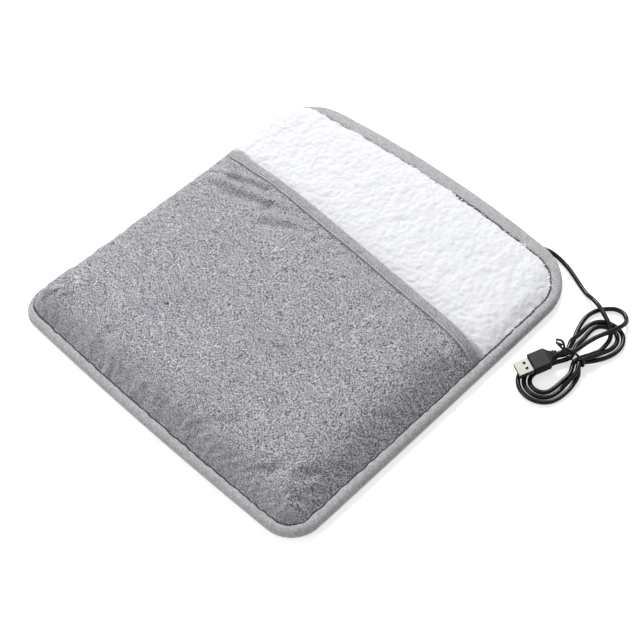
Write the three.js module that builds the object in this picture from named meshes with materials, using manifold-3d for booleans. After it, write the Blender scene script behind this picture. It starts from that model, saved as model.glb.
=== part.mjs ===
// Heated fleece pad with a sewn pocket, a low-voltage heater inside and a tied lead with a flat plug.
// Millimetres, +Z up. X runs along the closed end of the pocket, Y from the closed end to the open end.
import * as THREE from 'three';
import { mergeVertices } from 'three/addons/utils/BufferGeometryUtils.js';
import Module from 'manifold-3d';

const wasm = await Module();
wasm.setup();

// Plan of the pad: a rounded rectangle whose ends bow out and whose left side is drawn in.
const padWidth = 310;
const padDepth = 316.2;
const nearCornerRadius = 25;
const farCornerRadius = 41;
const nearBow = 3.1;
const farBow = 12.6;
const rightBow = 0.8;
const leftDrawIn = 5;

// Binding tape that wraps the whole edge. It is rolled under on the left side.
const bindingHeight = 8.4;
const bindingWall = 1.3;
const bindingRoll = 2.1;
const bindingRight = 8;
const bindingNear = 7;
const bindingFar = 11.5;
const bindingLeft = 4.5;
const hemWidth = 9;
const hemLeft = 12;

// Clearance between cloths that lie on each other, and round what passes through them.
const clothGap = 0.25;
const seamMargin = 1.8;
const fit = 0.3;

// Cloth thickness: squeezed in the binding (rim) and free inside the pad.
const rimBack = 1;
const backThickness = 1.6;
const rimSherpa = 1.3;
const sherpaThickness = 4.6;
const sherpaRise = 1;
const rimLining = 1.1;
const liningThickness = 3.6;
const frontThickness = 1.6;
const pocketRoom = 6.9;
const pocketStack = 8.4;

// Heater layers.
const wadThickness = 3;
const carrierThickness = 0.5;
const coverThickness = 0.8;
const wireDiameter = 1.4;
// Aim for the distance between the wire's runs. The run count is even and fills the depth.
const wirePitchAim = 24;
// From the seams to the outermost turns on the left, to the return lane on the right and to the last run.
const wireLeftMargin = 34.5;
const wireLaneMargin = 41;
const wireNearMargin = 29.1;
// From the return lane to the turns beside it, and from the bay to the first run.
const wireLaneStep = 10;
const wireBayStep = 4;
// How far the wire turns to the left as it climbs from its splice to the first run.
const wireTurnIn = 8;

// How far inside the binding each surface takes to reach its full height.
const backRun = 16;
const heaterRun = 26;
const sherpaRun = 32;
const liningRun = 24;
const crownRun = 120;

// Pocket mouth: its free edge crosses the pad a little askew and is bound with a folded tape.
const mouthPlace = 58;
const mouthRightPlace = 47;
const mouthTape = 9;
const mouthTapeWall = 1;
const mouthTapeColumn = 3;
const mouthFront = 1.3;
const mouthLining = 1.5;
const mouthFall = 34;
const mouthWadStop = 20;
const sherpaStep = 4;

// Bay for the splices and the thermal cut-out, at the open end on the right: its distance from the right
// seam, its width, and its depth from the far seam.
const bayMargin = 29;
const bayWidth = 52;
const bayDepth = 56.6;

// Thermal cut-out.
const caseLength = 20;
const caseWidth = 7.5;
const caseHeight = 3.8;
const caseWall = 0.4;
const caseFromBayLeft = 18;
const caseFromBayNear = 26;
const plugLength = 3.2;
const terminalWidth = 2;
const terminalThickness = 0.3;
const terminalReach = 5;
const terminalSpread = 3.6;
const contactDiameter = 1.6;
const contactHeight = 0.3;
const contactGap = 0.1;
const contactInset = 3;
const armOverhang = 1;
const armLength = 11.5;
const armWidth = 2.4;
const armThickness = 0.2;
const armLap = 1.4;

// Splices and insulated cores.
const coreDiameter = 1.3;
const crimpDiameter = 2.6;
const crimpLength = 8;
const crimpFromBayLeft = 10;
const crimpFromBayNear = 14;
const linkReach = 4;
const coreApart = 0.85;
const coreStart = 0.4;
const coreClimb = 0.2;
const coreStraight = 2.6;
const stopDiameter = 5;
const stopLength = 5;
const stopInset = 1;

// Lead, its hank, the tie and the plug.
const cordDiameter = 3.5;
const cordFloorGap = 0.05;
const strandPitch = 4.3;
const loopCount = 3;
const shiftStartShare = 0.62;
const shiftEndShare = 0.92;
const hankX = 194.8;
const hankY = 95.4;
const waistHalfWidth = 6.6;
const lowerLobeLength = 48;
const lowerLobeSpread = 24;
const lowerLobeShift = -4;
const lowerLobeRun = 34;
const upperLobeLength = 48.3;
const upperLobeSpread = 24;
const upperLobeShift = 2;
const upperLobeRun = 24;
const waistLift = 1.4;
const lowerWaistRun = 30;
const upperWaistRun = 30;
const lowerSpreadPower = 0.8;
const upperSpreadPower = 0.9;
const tieThickness = 0.9;
const tieWidth = 3.2;
const tieTailLength = 8;
const tieTailWidth = 2.6;
const tieTailRise = 1;
const tieTailTwist = 5;
// Inside of the tie.
const tieHalf = 10;
const tieLow = 1;
const tieSide = 9.6;
const tieCrown = 2.6;
const tieTop = 13;

const plugTipX = 173.1;
const plugTipY = 56.5;
const plugTipLevel = 7.8;
const plugHeading = 25.5;
const plugRise = 8.3;
const shellWidth = 12;
const shellHeight = 4.5;
const shellWall = 0.3;
const shellLength = 18.5;
const shellOut = 11.5;
const windowSize = 2.2;
const windowSpread = 5;
const windowPlace = 7.2;
const tongueWidth = 11;
const tongueHeight = 1.8;
const tongueLength = 15;
const tongueRecess = 1;
const contactStripWidth = 1;
const contactStripHeight = 0.2;
const contactStripLength = 9;
const contactPlaces = [-3.5, -1, 1, 3.5];
const bodyLength = 15.7;
const bodyWidth = 15.4;
const bodyHeight = 8;
const bodyCorner = 1.2;
const bodyShoulder = 3.2;
const neckLength = 5.5;
const neckWidth = 8.4;
const neckHeight = 6.2;
const neckEndWidth = 5.6;

// Shares of the half width and half depth at which the cloths are sampled inside the binding,
// and shares of the binding's width at which they are sampled under it.
const sampleShares = [0, 0.014, 0.034, 0.068, 0.12, 0.21, 0.39, 0.64];
const rimShares = [0, 0.2, 0.6];
const crownShare = 0.65;
const fastRunShare = 0.75;
const skewHoldShare = 0.12;
const skewSpreadShare = 0.19;
// Outer edge of the binding as shares of its roll and of its height.
const rollShares = [[1, 1], [0.33, 0.86], [0, 0.6], [0, 0.4], [0.33, 0.14], [1, 0]];
// The wire's climb from its splice: shares of its turn to the left, of its way to the first run and of its
// rise.
const climbShares = [[0, 0.1, 0], [0.125, 0.5, 0.3], [0.5, 0.8, 0.7], [1, 1, 1]];
// The wire's way back: shares of the bay's depth up to the splice, and of its rise.
const returnShares = [[0.07, 1], [0.36, 0.47], [0.71, 0]];
// Bends of the link and of the two cores, as shares of their way in x, y and z.
const linkShares = [[0.1, 0.25], [0.42, 1], [0.84, 0.8]];
const redShares = [[0.125, 0.41, 0.25], [0.59, 0.68, 0.75]];
const blackShares = [[0.22, 0.285, 0.35], [0.7, 0.69, 0.8]];
// Corners of the tie's twisted tail as shares of half its width.
const tailCornerShares = [[1, 0.5], [-1, 0.5], [-1, -0.5], [1, -0.5]];

// Counts of steps and sides.
const leadSteps = 22;
const tailSteps = 9;
const exitSteps = 16;
const loopSteps = 32;
const hankLeadSteps = 1;
const farSteps = 64;
const linkSteps = 12;
const redSteps = 8;
const blackSteps = 10;
const halfTurnSteps = 6;
const laneTurnSteps = 4;
const tieTailSteps = 10;
const cordSides = 8;
const hankSides = 6;
const wireSides = 6;
const crimpSides = 12;
const stopSides = 16;
const endSteps = [6, 8];
const sideSteps = 6;
const cornerSteps = [6, 7];

// Sizes that follow from those above.
const halfWidth = padWidth / 2;
const halfDepth = padDepth / 2;
const layerInset = bindingWall + fit + fit;
const rimBottom = bindingWall + fit;
const rimTop = bindingHeight - bindingWall - fit;
const rimSherpaBottom = rimBottom + rimBack + clothGap;
const rimLiningBottom = rimSherpaBottom + rimSherpa + clothGap;
const rimStack = rimTop - rimLiningBottom;
const rimFront = rimStack - rimLining - clothGap;
const wadBottom = backThickness + clothGap;
const carrierBottom = wadBottom + wadThickness + clothGap;
const wireLevel = carrierBottom + carrierThickness + clothGap + wireDiameter / 2;
const coverBottom = wireLevel + wireDiameter / 2 + clothGap;
const sherpaBottomLevel = coverBottom + coverThickness + clothGap;
const sherpaTopLevel = sherpaBottomLevel + sherpaThickness;
const liningLevel = sherpaTopLevel + pocketRoom;
const mouthStack = mouthLining + clothGap + mouthFront;
const mouthSlope = (mouthRightPlace - mouthPlace) / (halfWidth - bindingRight);
const cordRadius = cordDiameter / 2;
const cordLevel = cordRadius + cordFloorGap;
const leftSeam = -halfWidth + bindingLeft;
const rightSeam = halfWidth - bindingRight;
const nearSeam = -halfDepth + bindingNear;
const farSeam = halfDepth - bindingFar;
const bayRight = rightSeam - bayMargin;
const bayLeft = bayRight - bayWidth;
const bayNear = farSeam - bayDepth;
const casePlaceX = bayLeft + caseFromBayLeft;
const casePlaceY = bayNear + caseFromBayNear;
const crimpX = bayLeft + crimpFromBayLeft;
const crimpNear = bayNear + crimpFromBayNear;
const wireFirstRun = bayNear + wireBayStep;
const wireLastRun = nearSeam + wireNearMargin;
const wireRuns = 2 * Math.max(1, Math.round(((wireFirstRun - wireLastRun) / wirePitchAim + 1) / 2));
const wirePitch = (wireFirstRun - wireLastRun) / (wireRuns - 1);
const wireReturn = rightSeam - wireLaneMargin;
const wireRight = wireReturn - wireLaneStep - wirePitch / 2;
const wireLeft = leftSeam + wireLeftMargin + wirePitch / 2;

// Places along the cord, chosen by hand on a pad of these half sizes. They move with its far right corner.
const routeHalfWidth = 155;
const routeHalfDepth = 158.1;
const shiftX = halfWidth - routeHalfWidth;
const shiftY = halfDepth - routeHalfDepth;
const fromCorner = (route) => route.map(([x, y, z]) => [x + shiftX, y + shiftY, z]);
// Inside the pad, and from the pad to the hank.
const tailRoute = fromCorner([[93, 129, 4.4], [93, 138, 4.3], [95, 147, 4.2], [100, 155, 4.2],
  [106, 160.3, 4.2], [111.5, 162.9, 4.2]]);
const leadRoute = fromCorner([[111.9, 163.1, 4.2], [118, 164.9, 3.4], [125.6, 165.2, 2.2], [132, 164.1, 1.8],
  [139, 162, 1.8], [148, 158.2, 1.8], [158, 153.8, 1.8], [165.5, 150.8, 2.6], [171.5, 148.6, 5],
  [177, 146.6, 6.3], [183, 144.2, 6.4], [188.5, 141.3, 6.4], [194.5, 138, 6.2], [199.8, 134, 5.2],
  [204, 127.5, 3.6]]);
// The third upper loop lies far out, comes back over the others and runs to the plug.
const farRoute = fromCorner([[183.1, 109, 1.8], [178.3, 119, 1.8], [175.6, 128, 1.8], [175.2, 136.5, 1.8],
  [178, 144.2, 1.8], [183.4, 150.8, 1.8], [190, 154.8, 1.8], [196.6, 155.2, 2],
  [201.8, 151.4, 2.9], [204.2, 146, 5.6], [204.4, 140, 7.8], [203.4, 134.5, 8.8], [201.2, 128, 9.4],
  [197.6, 118.5, 9.5], [195.4, 108.5, 9.7], [194.2, 100, 10.1], [192.9, 95, 10.5], [190.4, 91.2, 11.5]]);

const clamp01 = (value) => Math.min(1, Math.max(0, value));
const mix = (a, b, share) => a + (b - a) * share;
const smooth = (value) => clamp01(value) ** 2 * (3 - 2 * clamp01(value));
const rise = (distance, run, power) => 1 - (1 - clamp01(distance / run)) ** power;

// Distance inside the pad's outline at a point of the plan, with the outward direction there.
function edgeAt(x, y) {
  const radius = y < 0 ? nearCornerRadius : farCornerRadius;
  const overX = Math.abs(x) - (halfWidth - radius);
  const overY = Math.abs(y) - (halfDepth - radius);
  if (overX > 0 && overY > 0) {
    const reach = Math.hypot(overX, overY);
    return { inside: radius - reach, nx: Math.sign(x) * overX / reach, ny: Math.sign(y) * overY / reach };
  }
  if (halfWidth - Math.abs(x) < halfDepth - Math.abs(y)) {
    return { inside: halfWidth - Math.abs(x), nx: Math.sign(x), ny: 0 };
  }
  return { inside: halfDepth - Math.abs(y), nx: 0, ny: Math.sign(y) };
}

// Width that the binding covers on top, and underneath, in a given outward direction.
function topCover(nx, ny) {
  return nx ** 2 * (nx > 0 ? bindingRight : bindingLeft) + ny ** 2 * (ny > 0 ? bindingFar : bindingNear);
}

function bottomCover(nx, ny) {
  return nx ** 2 * (nx > 0 ? hemWidth : hemLeft) + ny ** 2 * hemWidth;
}

function seamDistance(x, y) {
  const edge = edgeAt(x, y);
  return edge.inside - topCover(edge.nx, edge.ny) - seamMargin;
}

function hemDistance(x, y) {
  const edge = edgeAt(x, y);
  return edge.inside - bottomCover(edge.nx, edge.ny) - seamMargin;
}

// The sewn plan: ends that bow out and a left side that is drawn in.
function sewn(x, y) {
  const across = 1 - (x / halfWidth) ** 2;
  const along = 1 - (y / halfDepth) ** 2;
  const bow = y > 0 ? farBow : -nearBow;
  const side = x > 0 ? rightBow : leftDrawIn;
  return [x + side * (x / halfWidth) ** 2 * along, y + bow * (y / halfDepth) ** 2 * across];
}

const mouthAt = (x) => mouthPlace + mouthSlope * x;
const mouthDistance = (x, y) => y - mouthAt(x);

// Heights of the cloths over the plan.
const slowCrown = (x, y) => {
  const fromSide = halfWidth - Math.abs(x) - bindingRight;
  const fromEnd = halfDepth - Math.abs(y) - bindingNear;
  return rise(fromSide, crownRun, 2) * rise(fromEnd, crownRun, 2);
};
const backBottom = (x, y) => rimBottom * (1 - rise(hemDistance(x, y), backRun, 2));
const backTop = (x, y) => backBottom(x, y)
  + mix(rimBack, backThickness, rise(hemDistance(x, y), backRun, 2));
const sherpaBottom = (x, y) => mix(rimSherpaBottom, sherpaBottomLevel,
  rise(seamDistance(x, y), heaterRun, 2));
const openShare = (x, y) => clamp01(mouthDistance(x, y) / sherpaStep);
const sherpaTop = (x, y) => {
  const open = openShare(x, y);
  const rim = mix(rimLiningBottom - clothGap, rimTop, open);
  return mix(rim, sherpaTopLevel + sherpaRise * open, rise(seamDistance(x, y), sherpaRun, 1.6));
};
const liningBottom = (x, y) => mix(rimLiningBottom, liningLevel, rise(seamDistance(x, y), liningRun, 3));
const mouthShare = (x, y) => smooth(1 + (mouthDistance(x, y) + mouthTape) / (mouthFall - mouthTape));
const fastCrown = (x, y) => rise(seamDistance(x, y), liningRun * fastRunShare, 3);
const stackHeight = (x, y) => {
  const crown = mix(fastCrown(x, y), slowCrown(x, y), crownShare);
  return mix(mix(rimStack, pocketStack, crown), mouthStack, mouthShare(x, y) * fastCrown(x, y));
};
const liningHeight = (x, y) => {
  const plain = mix(rimLining, liningThickness, (fastCrown(x, y) + slowCrown(x, y)) / 2);
  return mix(plain, mouthLining, mouthShare(x, y) * fastCrown(x, y));
};
const frontHeight = (x, y) => {
  const plain = mix(rimFront, frontThickness, fastCrown(x, y));
  return mix(plain, mouthFront, mouthShare(x, y) * fastCrown(x, y));
};
const liningTop = (x, y) => liningBottom(x, y) + liningHeight(x, y);
const frontTop = (x, y) => liningBottom(x, y) + stackHeight(x, y);
const frontBottom = (x, y) => frontTop(x, y) - frontHeight(x, y);

// A closed geometry from indexed points, with its faces turned outward.
function closedGeometry(points, triangles) {
  let volume = 0;
  for (const [a, b, c] of triangles) {
    const [p, q, r] = [points[a], points[b], points[c]];
    volume += p[0] * (q[1] * r[2] - q[2] * r[1]) + p[1] * (q[2] * r[0] - q[0] * r[2])
      + p[2] * (q[0] * r[1] - q[1] * r[0]);
  }
  const faces = volume > 0 ? triangles : triangles.map(([a, b, c]) => [a, c, b]);
  const geometry = new THREE.BufferGeometry();
  geometry.setAttribute('position', new THREE.Float32BufferAttribute(points.flat(), 3));
  geometry.setIndex(faces.flat());
  return geometry;
}

// A skin through rings that each hold the same number of points: closed round, or capped at both ends.
function ringSolid(rings, isLoop) {
  const count = rings[0].length;
  const points = rings.flat();
  const triangles = [];
  const bands = isLoop ? rings.length : rings.length - 1;
  for (let i = 0; i < bands; i += 1) {
    const here = i * count;
    const next = ((i + 1) % rings.length) * count;
    for (let j = 0; j < count; j += 1) {
      const k = (j + 1) % count;
      triangles.push([here + j, here + k, next + k], [here + j, next + k, next + j]);
    }
  }
  if (!isLoop) {
    const flat = rings.map((ring) => ring.map((point) => new THREE.Vector3(...point)));
    for (const end of [0, rings.length - 1]) {
      const ring = flat[end];
      const away = flat[end === 0 ? 1 : end - 1];
      const normal = ring[0].clone().sub(away[0]).normalize();
      const across = ring[1].clone().sub(ring[0]).normalize();
      const up = normal.clone().cross(across).normalize();
      const outline = ring.map((point) => new THREE.Vector2(point.dot(across), point.dot(up)));
      for (const [a, b, c] of THREE.ShapeUtils.triangulateShape(outline, [])) {
        const cap = [a, b, c].map((index) => index + end * count);
        triangles.push(end === 0 ? [cap[0], cap[2], cap[1]] : cap);
      }
    }
  }
  return closedGeometry(points, orient(triangles));
}

// Turns neighbouring triangles alike, so that every edge is walked once in each direction.
function orient(triangles) {
  const owners = new Map();
  triangles.forEach((triangle, index) => {
    for (let i = 0; i < 3; i += 1) {
      const pair = [triangle[i], triangle[(i + 1) % 3]];
      const key = `${Math.min(...pair)}_${Math.max(...pair)}`;
      if (!owners.has(key)) owners.set(key, []);
      owners.get(key).push(index);
    }
  });
  const result = triangles.map((triangle) => [...triangle]);
  const isDone = new Array(triangles.length).fill(false);
  const waiting = [0];
  isDone[0] = true;
  while (waiting.length > 0) {
    const index = waiting.pop();
    for (let i = 0; i < 3; i += 1) {
      const from = result[index][i];
      const to = result[index][(i + 1) % 3];
      for (const other of owners.get(`${Math.min(from, to)}_${Math.max(from, to)}`)) {
        if (isDone[other]) continue;
        const place = result[other].indexOf(from);
        if (result[other][(place + 1) % 3] === to) result[other].reverse();
        isDone[other] = true;
        waiting.push(other);
      }
    }
  }
  return result;
}

// Rows and columns at which a cloth is sampled. A column is given by its side and its inset.
const halfInside = halfWidth - bindingRight;
const depthInside = halfDepth - bindingNear;
const leftInsets = [0, ...sampleShares.map((share) => bindingLeft - layerInset + share * halfInside)];
const rightInsets = [0, ...sampleShares.map((share) => bindingRight - layerInset + share * halfInside)];
const nearEnd = -halfDepth + layerInset;
const farEnd = halfDepth - layerInset;
const nearCover = bindingNear - layerInset;
const farCover = bindingFar - layerInset;
const nearRows = [...rimShares.map((share) => nearEnd + share * nearCover),
  ...sampleShares.map((share) => nearEnd + nearCover + share * depthInside)];
const farRows = [
  ...sampleShares.slice(0, -1).map((share) => farEnd - farCover - share * depthInside).reverse(),
  ...rimShares.map((share) => farEnd - share * farCover).reverse()];
const mouthTapeInset = mouthTapeWall + fit;
const pocketRows = [-mouthFall, -mouthWadStop, -mouthTape, -mouthTapeInset].map((step) => mouthPlace + step);
const openRows = [-mouthFall, -mouthTape, 0, sherpaStep, sherpaStep * 3].map((step) => mouthPlace + step);

function outlineX(y, side) {
  const radius = (y < 0 ? nearCornerRadius : farCornerRadius) - layerInset;
  const over = Math.abs(y) - (halfDepth - layerInset - radius);
  const pulledIn = over > 0 ? radius - Math.sqrt(Math.max(0, radius ** 2 - over ** 2)) : 0;
  return side * (halfWidth - layerInset - pulledIn);
}

function skewedY(row, x) {
  const hold = skewHoldShare * padDepth;
  const spread = skewSpreadShare * padDepth;
  const share = clamp01((spread - Math.abs(row - mouthPlace)) / (spread - hold));
  return row + mouthSlope * x * share;
}

// A cloth sampled on rows and columns, from its lower to its upper height over the plan.
function clothSolid(rows, firstColumn, lower, upper) {
  const lefts = leftInsets.slice(firstColumn);
  const rights = rightInsets.slice(firstColumn);
  const places = rows.map((row) => {
    const left = outlineX(row, -1);
    const right = outlineX(row, 1);
    const line = [...lefts.map((inset) => left + inset), 0,
      ...rights.map((inset) => right - inset).reverse()];
    return line.map((x) => [x, skewedY(row, x)]);
  });
  const columns = places[0].length;
  const points = [];
  for (const surface of [lower, upper]) {
    for (const line of places) {
      for (const [x, y] of line) points.push([...sewn(x, y), surface(x, y)]);
    }
  }
  const half = rows.length * columns;
  const at = (row, column, level) => level * half + row * columns + column;
  const triangles = [];
  for (let i = 0; i < rows.length - 1; i += 1) {
    for (let j = 0; j < columns - 1; j += 1) {
      for (const level of [0, 1]) {
        const [a, b] = [at(i, j, level), at(i, j + 1, level)];
        const [d, c] = [at(i + 1, j, level), at(i + 1, j + 1, level)];
        if (level === 0) triangles.push([a, c, b], [a, d, c]);
        else triangles.push([a, b, c], [a, c, d]);
      }
    }
  }
  const border = [];
  for (let j = 0; j < columns - 1; j += 1) border.push([0, j]);
  for (let i = 0; i < rows.length - 1; i += 1) border.push([i, columns - 1]);
  for (let j = columns - 1; j > 0; j -= 1) border.push([rows.length - 1, j]);
  for (let i = rows.length - 1; i > 0; i -= 1) border.push([i, 0]);
  border.forEach(([row, column], index) => {
    const [nextRow, nextColumn] = border[(index + 1) % border.length];
    const corners = [at(row, column, 0), at(nextRow, nextColumn, 0), at(nextRow, nextColumn, 1),
      at(row, column, 1)];
    triangles.push([corners[0], corners[1], corners[2]], [corners[0], corners[2], corners[3]]);
  });
  return closedGeometry(points, triangles);
}

// A path through given points: a step for each point, so a tube has its rings just there.
class StationPath extends THREE.Curve {
  constructor(points) {
    super();
    this.points = points.map((point) => new THREE.Vector3(...point));
  }

  getPoint(share, target = new THREE.Vector3()) {
    const place = clamp01(share) * (this.points.length - 1);
    const index = Math.min(Math.floor(place), this.points.length - 2);
    return target.copy(this.points[index]).lerp(this.points[index + 1], place - index);
  }

  getPointAt(share, target) {
    return this.getPoint(share, target);
  }

  getTangentAt(share, target = new THREE.Vector3()) {
    const index = Math.round(clamp01(share) * (this.points.length - 1));
    const before = this.points[Math.max(0, index - 1)];
    const after = this.points[Math.min(this.points.length - 1, index + 1)];
    return target.copy(after).sub(before).normalize();
  }
}

function polygonShape(radius, sides) {
  const turn = (2 * Math.PI) / sides;
  return new THREE.Shape(Array.from({ length: sides },
    (_, i) => new THREE.Vector2(radius * Math.cos(turn * (i + 0.5)), radius * Math.sin(turn * (i + 0.5)))));
}

function tubeGeometry(points, radius, sides) {
  const path = new StationPath(points);
  return outward(new THREE.ExtrudeGeometry(polygonShape(radius, sides),
    { steps: points.length - 1, extrudePath: path, curveSegments: 1, bevelEnabled: false }));
}

// Points on one smooth curve through a hand-made route.
function smoothRoute(route, steps) {
  const curve = new THREE.CatmullRomCurve3(route.map((point) => new THREE.Vector3(...point)), false,
    'centripetal');
  return curve.getSpacedPoints(steps).map((point) => point.toArray());
}

// Keeps only positions, shares the corners, and turns the faces outward.
function outward(geometry) {
  const plain = new THREE.BufferGeometry();
  plain.setAttribute('position', geometry.getAttribute('position'));
  if (geometry.index) plain.setIndex(geometry.index);
  const merged = mergeVertices(plain);
  const position = merged.getAttribute('position');
  const points = Array.from({ length: position.count },
    (_, i) => [position.getX(i), position.getY(i), position.getZ(i)]);
  const triangles = [];
  for (let i = 0; i < merged.index.count; i += 3) {
    const corners = [merged.index.getX(i), merged.index.getX(i + 1), merged.index.getX(i + 2)];
    if (new Set(corners).size === 3) triangles.push(corners);
  }
  return closedGeometry(points, triangles);
}

function toSolid(geometry) {
  const shared = outward(geometry);
  return new wasm.Manifold(new wasm.Mesh({
    numProp: 3,
    vertProperties: new Float32Array(shared.getAttribute('position').array),
    triVerts: new Uint32Array(shared.index.array),
  }));
}

function toGeometry(solid) {
  const mesh = solid.getMesh();
  const geometry = new THREE.BufferGeometry();
  geometry.setAttribute('position', new THREE.Float32BufferAttribute(Array.from(mesh.vertProperties), 3));
  geometry.setIndex(Array.from(mesh.triVerts));
  return geometry;
}

function cut(geometry, ...tools) {
  return toGeometry(tools.reduce((solid, tool) => solid.subtract(toSolid(tool)), toSolid(geometry)));
}

function join(geometry, ...others) {
  return toGeometry(others.reduce((solid, other) => solid.add(toSolid(other)), toSolid(geometry)));
}

// A block between two corners.
function block(low, high) {
  const size = high.map((value, axis) => value - low[axis]);
  const geometry = new THREE.BoxGeometry(...size);
  geometry.translate(...low.map((value, axis) => value + size[axis] / 2));
  return geometry;
}

function material(color, roughness, metalness = 0) {
  return new THREE.MeshStandardMaterial({ color, roughness, metalness });
}

const plushGrey = material(0xa5a5ad, 0.95);
const tapeGrey = material(0xb2b2b5, 0.9);
const sherpaWhite = material(0xf3f3f5, 1);
const wadWhite = material(0xe9e9e4, 1);
const feltWhite = material(0xdcdcd6, 1);
const wireBrown = material(0x8a5a3c, 0.6);
const coreRed = material(0xb02a22, 0.5);
const coreBlack = material(0x1c1c1e, 0.5);
const cordBlack = material(0x242427, 0.45);
const plugBlack = material(0x2b2b2e, 0.55);
const steel = material(0xc9c6bd, 0.3, 1);
const brass = material(0xc9a45a, 0.35, 1);
const insulator = material(0xd8d2c2, 0.7);
const tongueWhite = material(0xe8e6e0, 0.5);

const pad = new THREE.Group();

function add(parent, name, geometry, finish) {
  const mesh = new THREE.Mesh(geometry, finish);
  mesh.name = name;
  parent.add(mesh);
  return mesh;
}

// Cord inside the pad and the room that the cloths leave round it.
const tailPoints = smoothRoute(tailRoute, tailSteps);
const exitPoints = smoothRoute([...tailRoute, ...leadRoute.slice(1, 4)], exitSteps);
const cordRoom = tubeGeometry(exitPoints, cordRadius + 2 * fit, cordSides);
const bay = block([bayLeft, bayNear, -bindingHeight], [bayRight, halfDepth + farBow, 2 * bindingHeight]);

// Cloths, from the floor up.
const allRows = [...nearRows, ...openRows, ...farRows];
add(pad, 'back_cover', cut(clothSolid(allRows, 0, backBottom, backTop), cordRoom), plushGrey);

const innerNear = rimShares.length + 2;
const innerRows = [...nearRows.slice(innerNear), ...openRows, ...farRows.slice(0, -innerNear)];
const innerColumn = 4;
const innerShare = (x, y) => clamp01((sherpaBottom(x, y) - backTop(x, y))
  / (sherpaBottomLevel - backThickness));
const innerLevel = (level) => (x, y) => backTop(x, y) + (level - backThickness) * innerShare(x, y);
function heaterLayer(bottom, thickness) {
  return cut(clothSolid(innerRows, innerColumn, innerLevel(bottom), innerLevel(bottom + thickness)), bay);
}
add(pad, 'back_wadding', heaterLayer(wadBottom, wadThickness), wadWhite);
add(pad, 'heater_carrier', heaterLayer(carrierBottom, carrierThickness), feltWhite);
add(pad, 'heater_cover', heaterLayer(coverBottom, coverThickness), feltWhite);
add(pad, 'sherpa_lining', cut(clothSolid(allRows, 0, sherpaBottom, sherpaTop), cordRoom), sherpaWhite);

const frontRows = [...nearRows, ...pocketRows];
const wadRows = [...nearRows.slice(innerNear + 1), ...pocketRows.slice(0, 2)];
add(pad, 'pocket_lining', clothSolid(frontRows, 0, liningBottom, liningTop), sherpaWhite);
add(pad, 'pocket_wadding', clothSolid(wadRows, innerColumn + 1,
  (x, y) => liningTop(x, y) + clothGap, (x, y) => frontBottom(x, y) - clothGap), wadWhite);
add(pad, 'pocket_front', clothSolid(frontRows, 0, frontBottom, frontTop), plushGrey);

// Folded tape round the pocket's free edge, a channel that follows the mouth from side to side.
function mouthTapeGeometry() {
  const left = outlineX(mouthPlace, -1);
  const right = outlineX(mouthPlace, 1);
  const stations = [...leftInsets.slice(mouthTapeColumn).map((inset) => left + inset), 0,
    ...rightInsets.slice(mouthTapeColumn).map((inset) => right - inset).reverse()];
  const fold = mouthTapeWall / 2;
  const rings = stations.map((x) => {
    const y = mouthAt(x);
    const at = (step) => y + Math.min(step, -mouthTapeInset);
    const high = (step) => frontTop(x, at(step)) + fit;
    const low = (step) => liningBottom(x, at(step)) - fit;
    const section = [[-mouthTape, high(-mouthTape) + mouthTapeWall], [-fold, high(0) + mouthTapeWall],
      [0, high(0)], [0, low(0)], [-fold, low(0) - mouthTapeWall],
      [-mouthTape, low(-mouthTape) - mouthTapeWall],
      [-mouthTape, low(-mouthTape)], [-mouthTapeWall, low(0)], [-mouthTapeWall, high(0)],
      [-mouthTape, high(-mouthTape)]];
    return section.map(([step, z]) => [...sewn(x, y + step), z]);
  });
  return ringSolid(rings, false);
}
add(pad, 'mouth_binding', mouthTapeGeometry(), tapeGrey);

// Edge binding: a soft channel swept round the whole outline.
function outlineStations() {
  const stations = [];
  const line = (from, to, count, nx, ny) => {
    for (let i = 0; i < count; i += 1) {
      stations.push({ x: mix(from[0], to[0], i / count), y: mix(from[1], to[1], i / count), nx, ny });
    }
  };
  const corner = (sideX, sideY, radius, start, count) => {
    for (let i = 0; i < count; i += 1) {
      const angle = start + (Math.PI / 2) * (i / count);
      const [nx, ny] = [Math.cos(angle), Math.sin(angle)];
      stations.push({ x: sideX * (halfWidth - radius) + radius * nx,
        y: sideY * (halfDepth - radius) + radius * ny, nx, ny });
    }
  };
  const near = nearCornerRadius;
  const far = farCornerRadius;
  const [nearEndSteps, farEndSteps] = endSteps;
  const [nearCornerSteps, farCornerSteps] = cornerSteps;
  line([-halfWidth + near, -halfDepth], [halfWidth - near, -halfDepth], nearEndSteps, 0, -1);
  corner(1, -1, near, -Math.PI / 2, nearCornerSteps);
  line([halfWidth, -halfDepth + near], [halfWidth, halfDepth - far], sideSteps, 1, 0);
  corner(1, 1, far, 0, farCornerSteps);
  line([halfWidth - far, halfDepth], [-halfWidth + far, halfDepth], farEndSteps, 0, 1);
  corner(-1, 1, far, Math.PI / 2, farCornerSteps);
  line([-halfWidth, halfDepth - far], [-halfWidth, -halfDepth + near], sideSteps, -1, 0);
  corner(-1, -1, near, Math.PI, nearCornerSteps);
  return stations;
}

function edgeBindingGeometry() {
  const roll = rollShares.map(([inward, high]) => [bindingRoll * inward, bindingHeight * high]);
  const rings = outlineStations().map(({ x, y, nx, ny }) => {
    const top = topCover(nx, ny);
    const bottom = bottomCover(nx, ny);
    const section = [[top, bindingHeight], ...roll, [bottom, 0], [bottom, bindingWall],
      [bindingWall, bindingWall], [bindingWall, bindingHeight - bindingWall],
      [top, bindingHeight - bindingWall]];
    return section.map(([inset, z]) => [...sewn(x - nx * inset, y - ny * inset), z]);
  });
  return ringSolid(rings, true);
}
add(pad, 'edge_binding', cut(edgeBindingGeometry(), cordRoom), tapeGrey);

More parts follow.
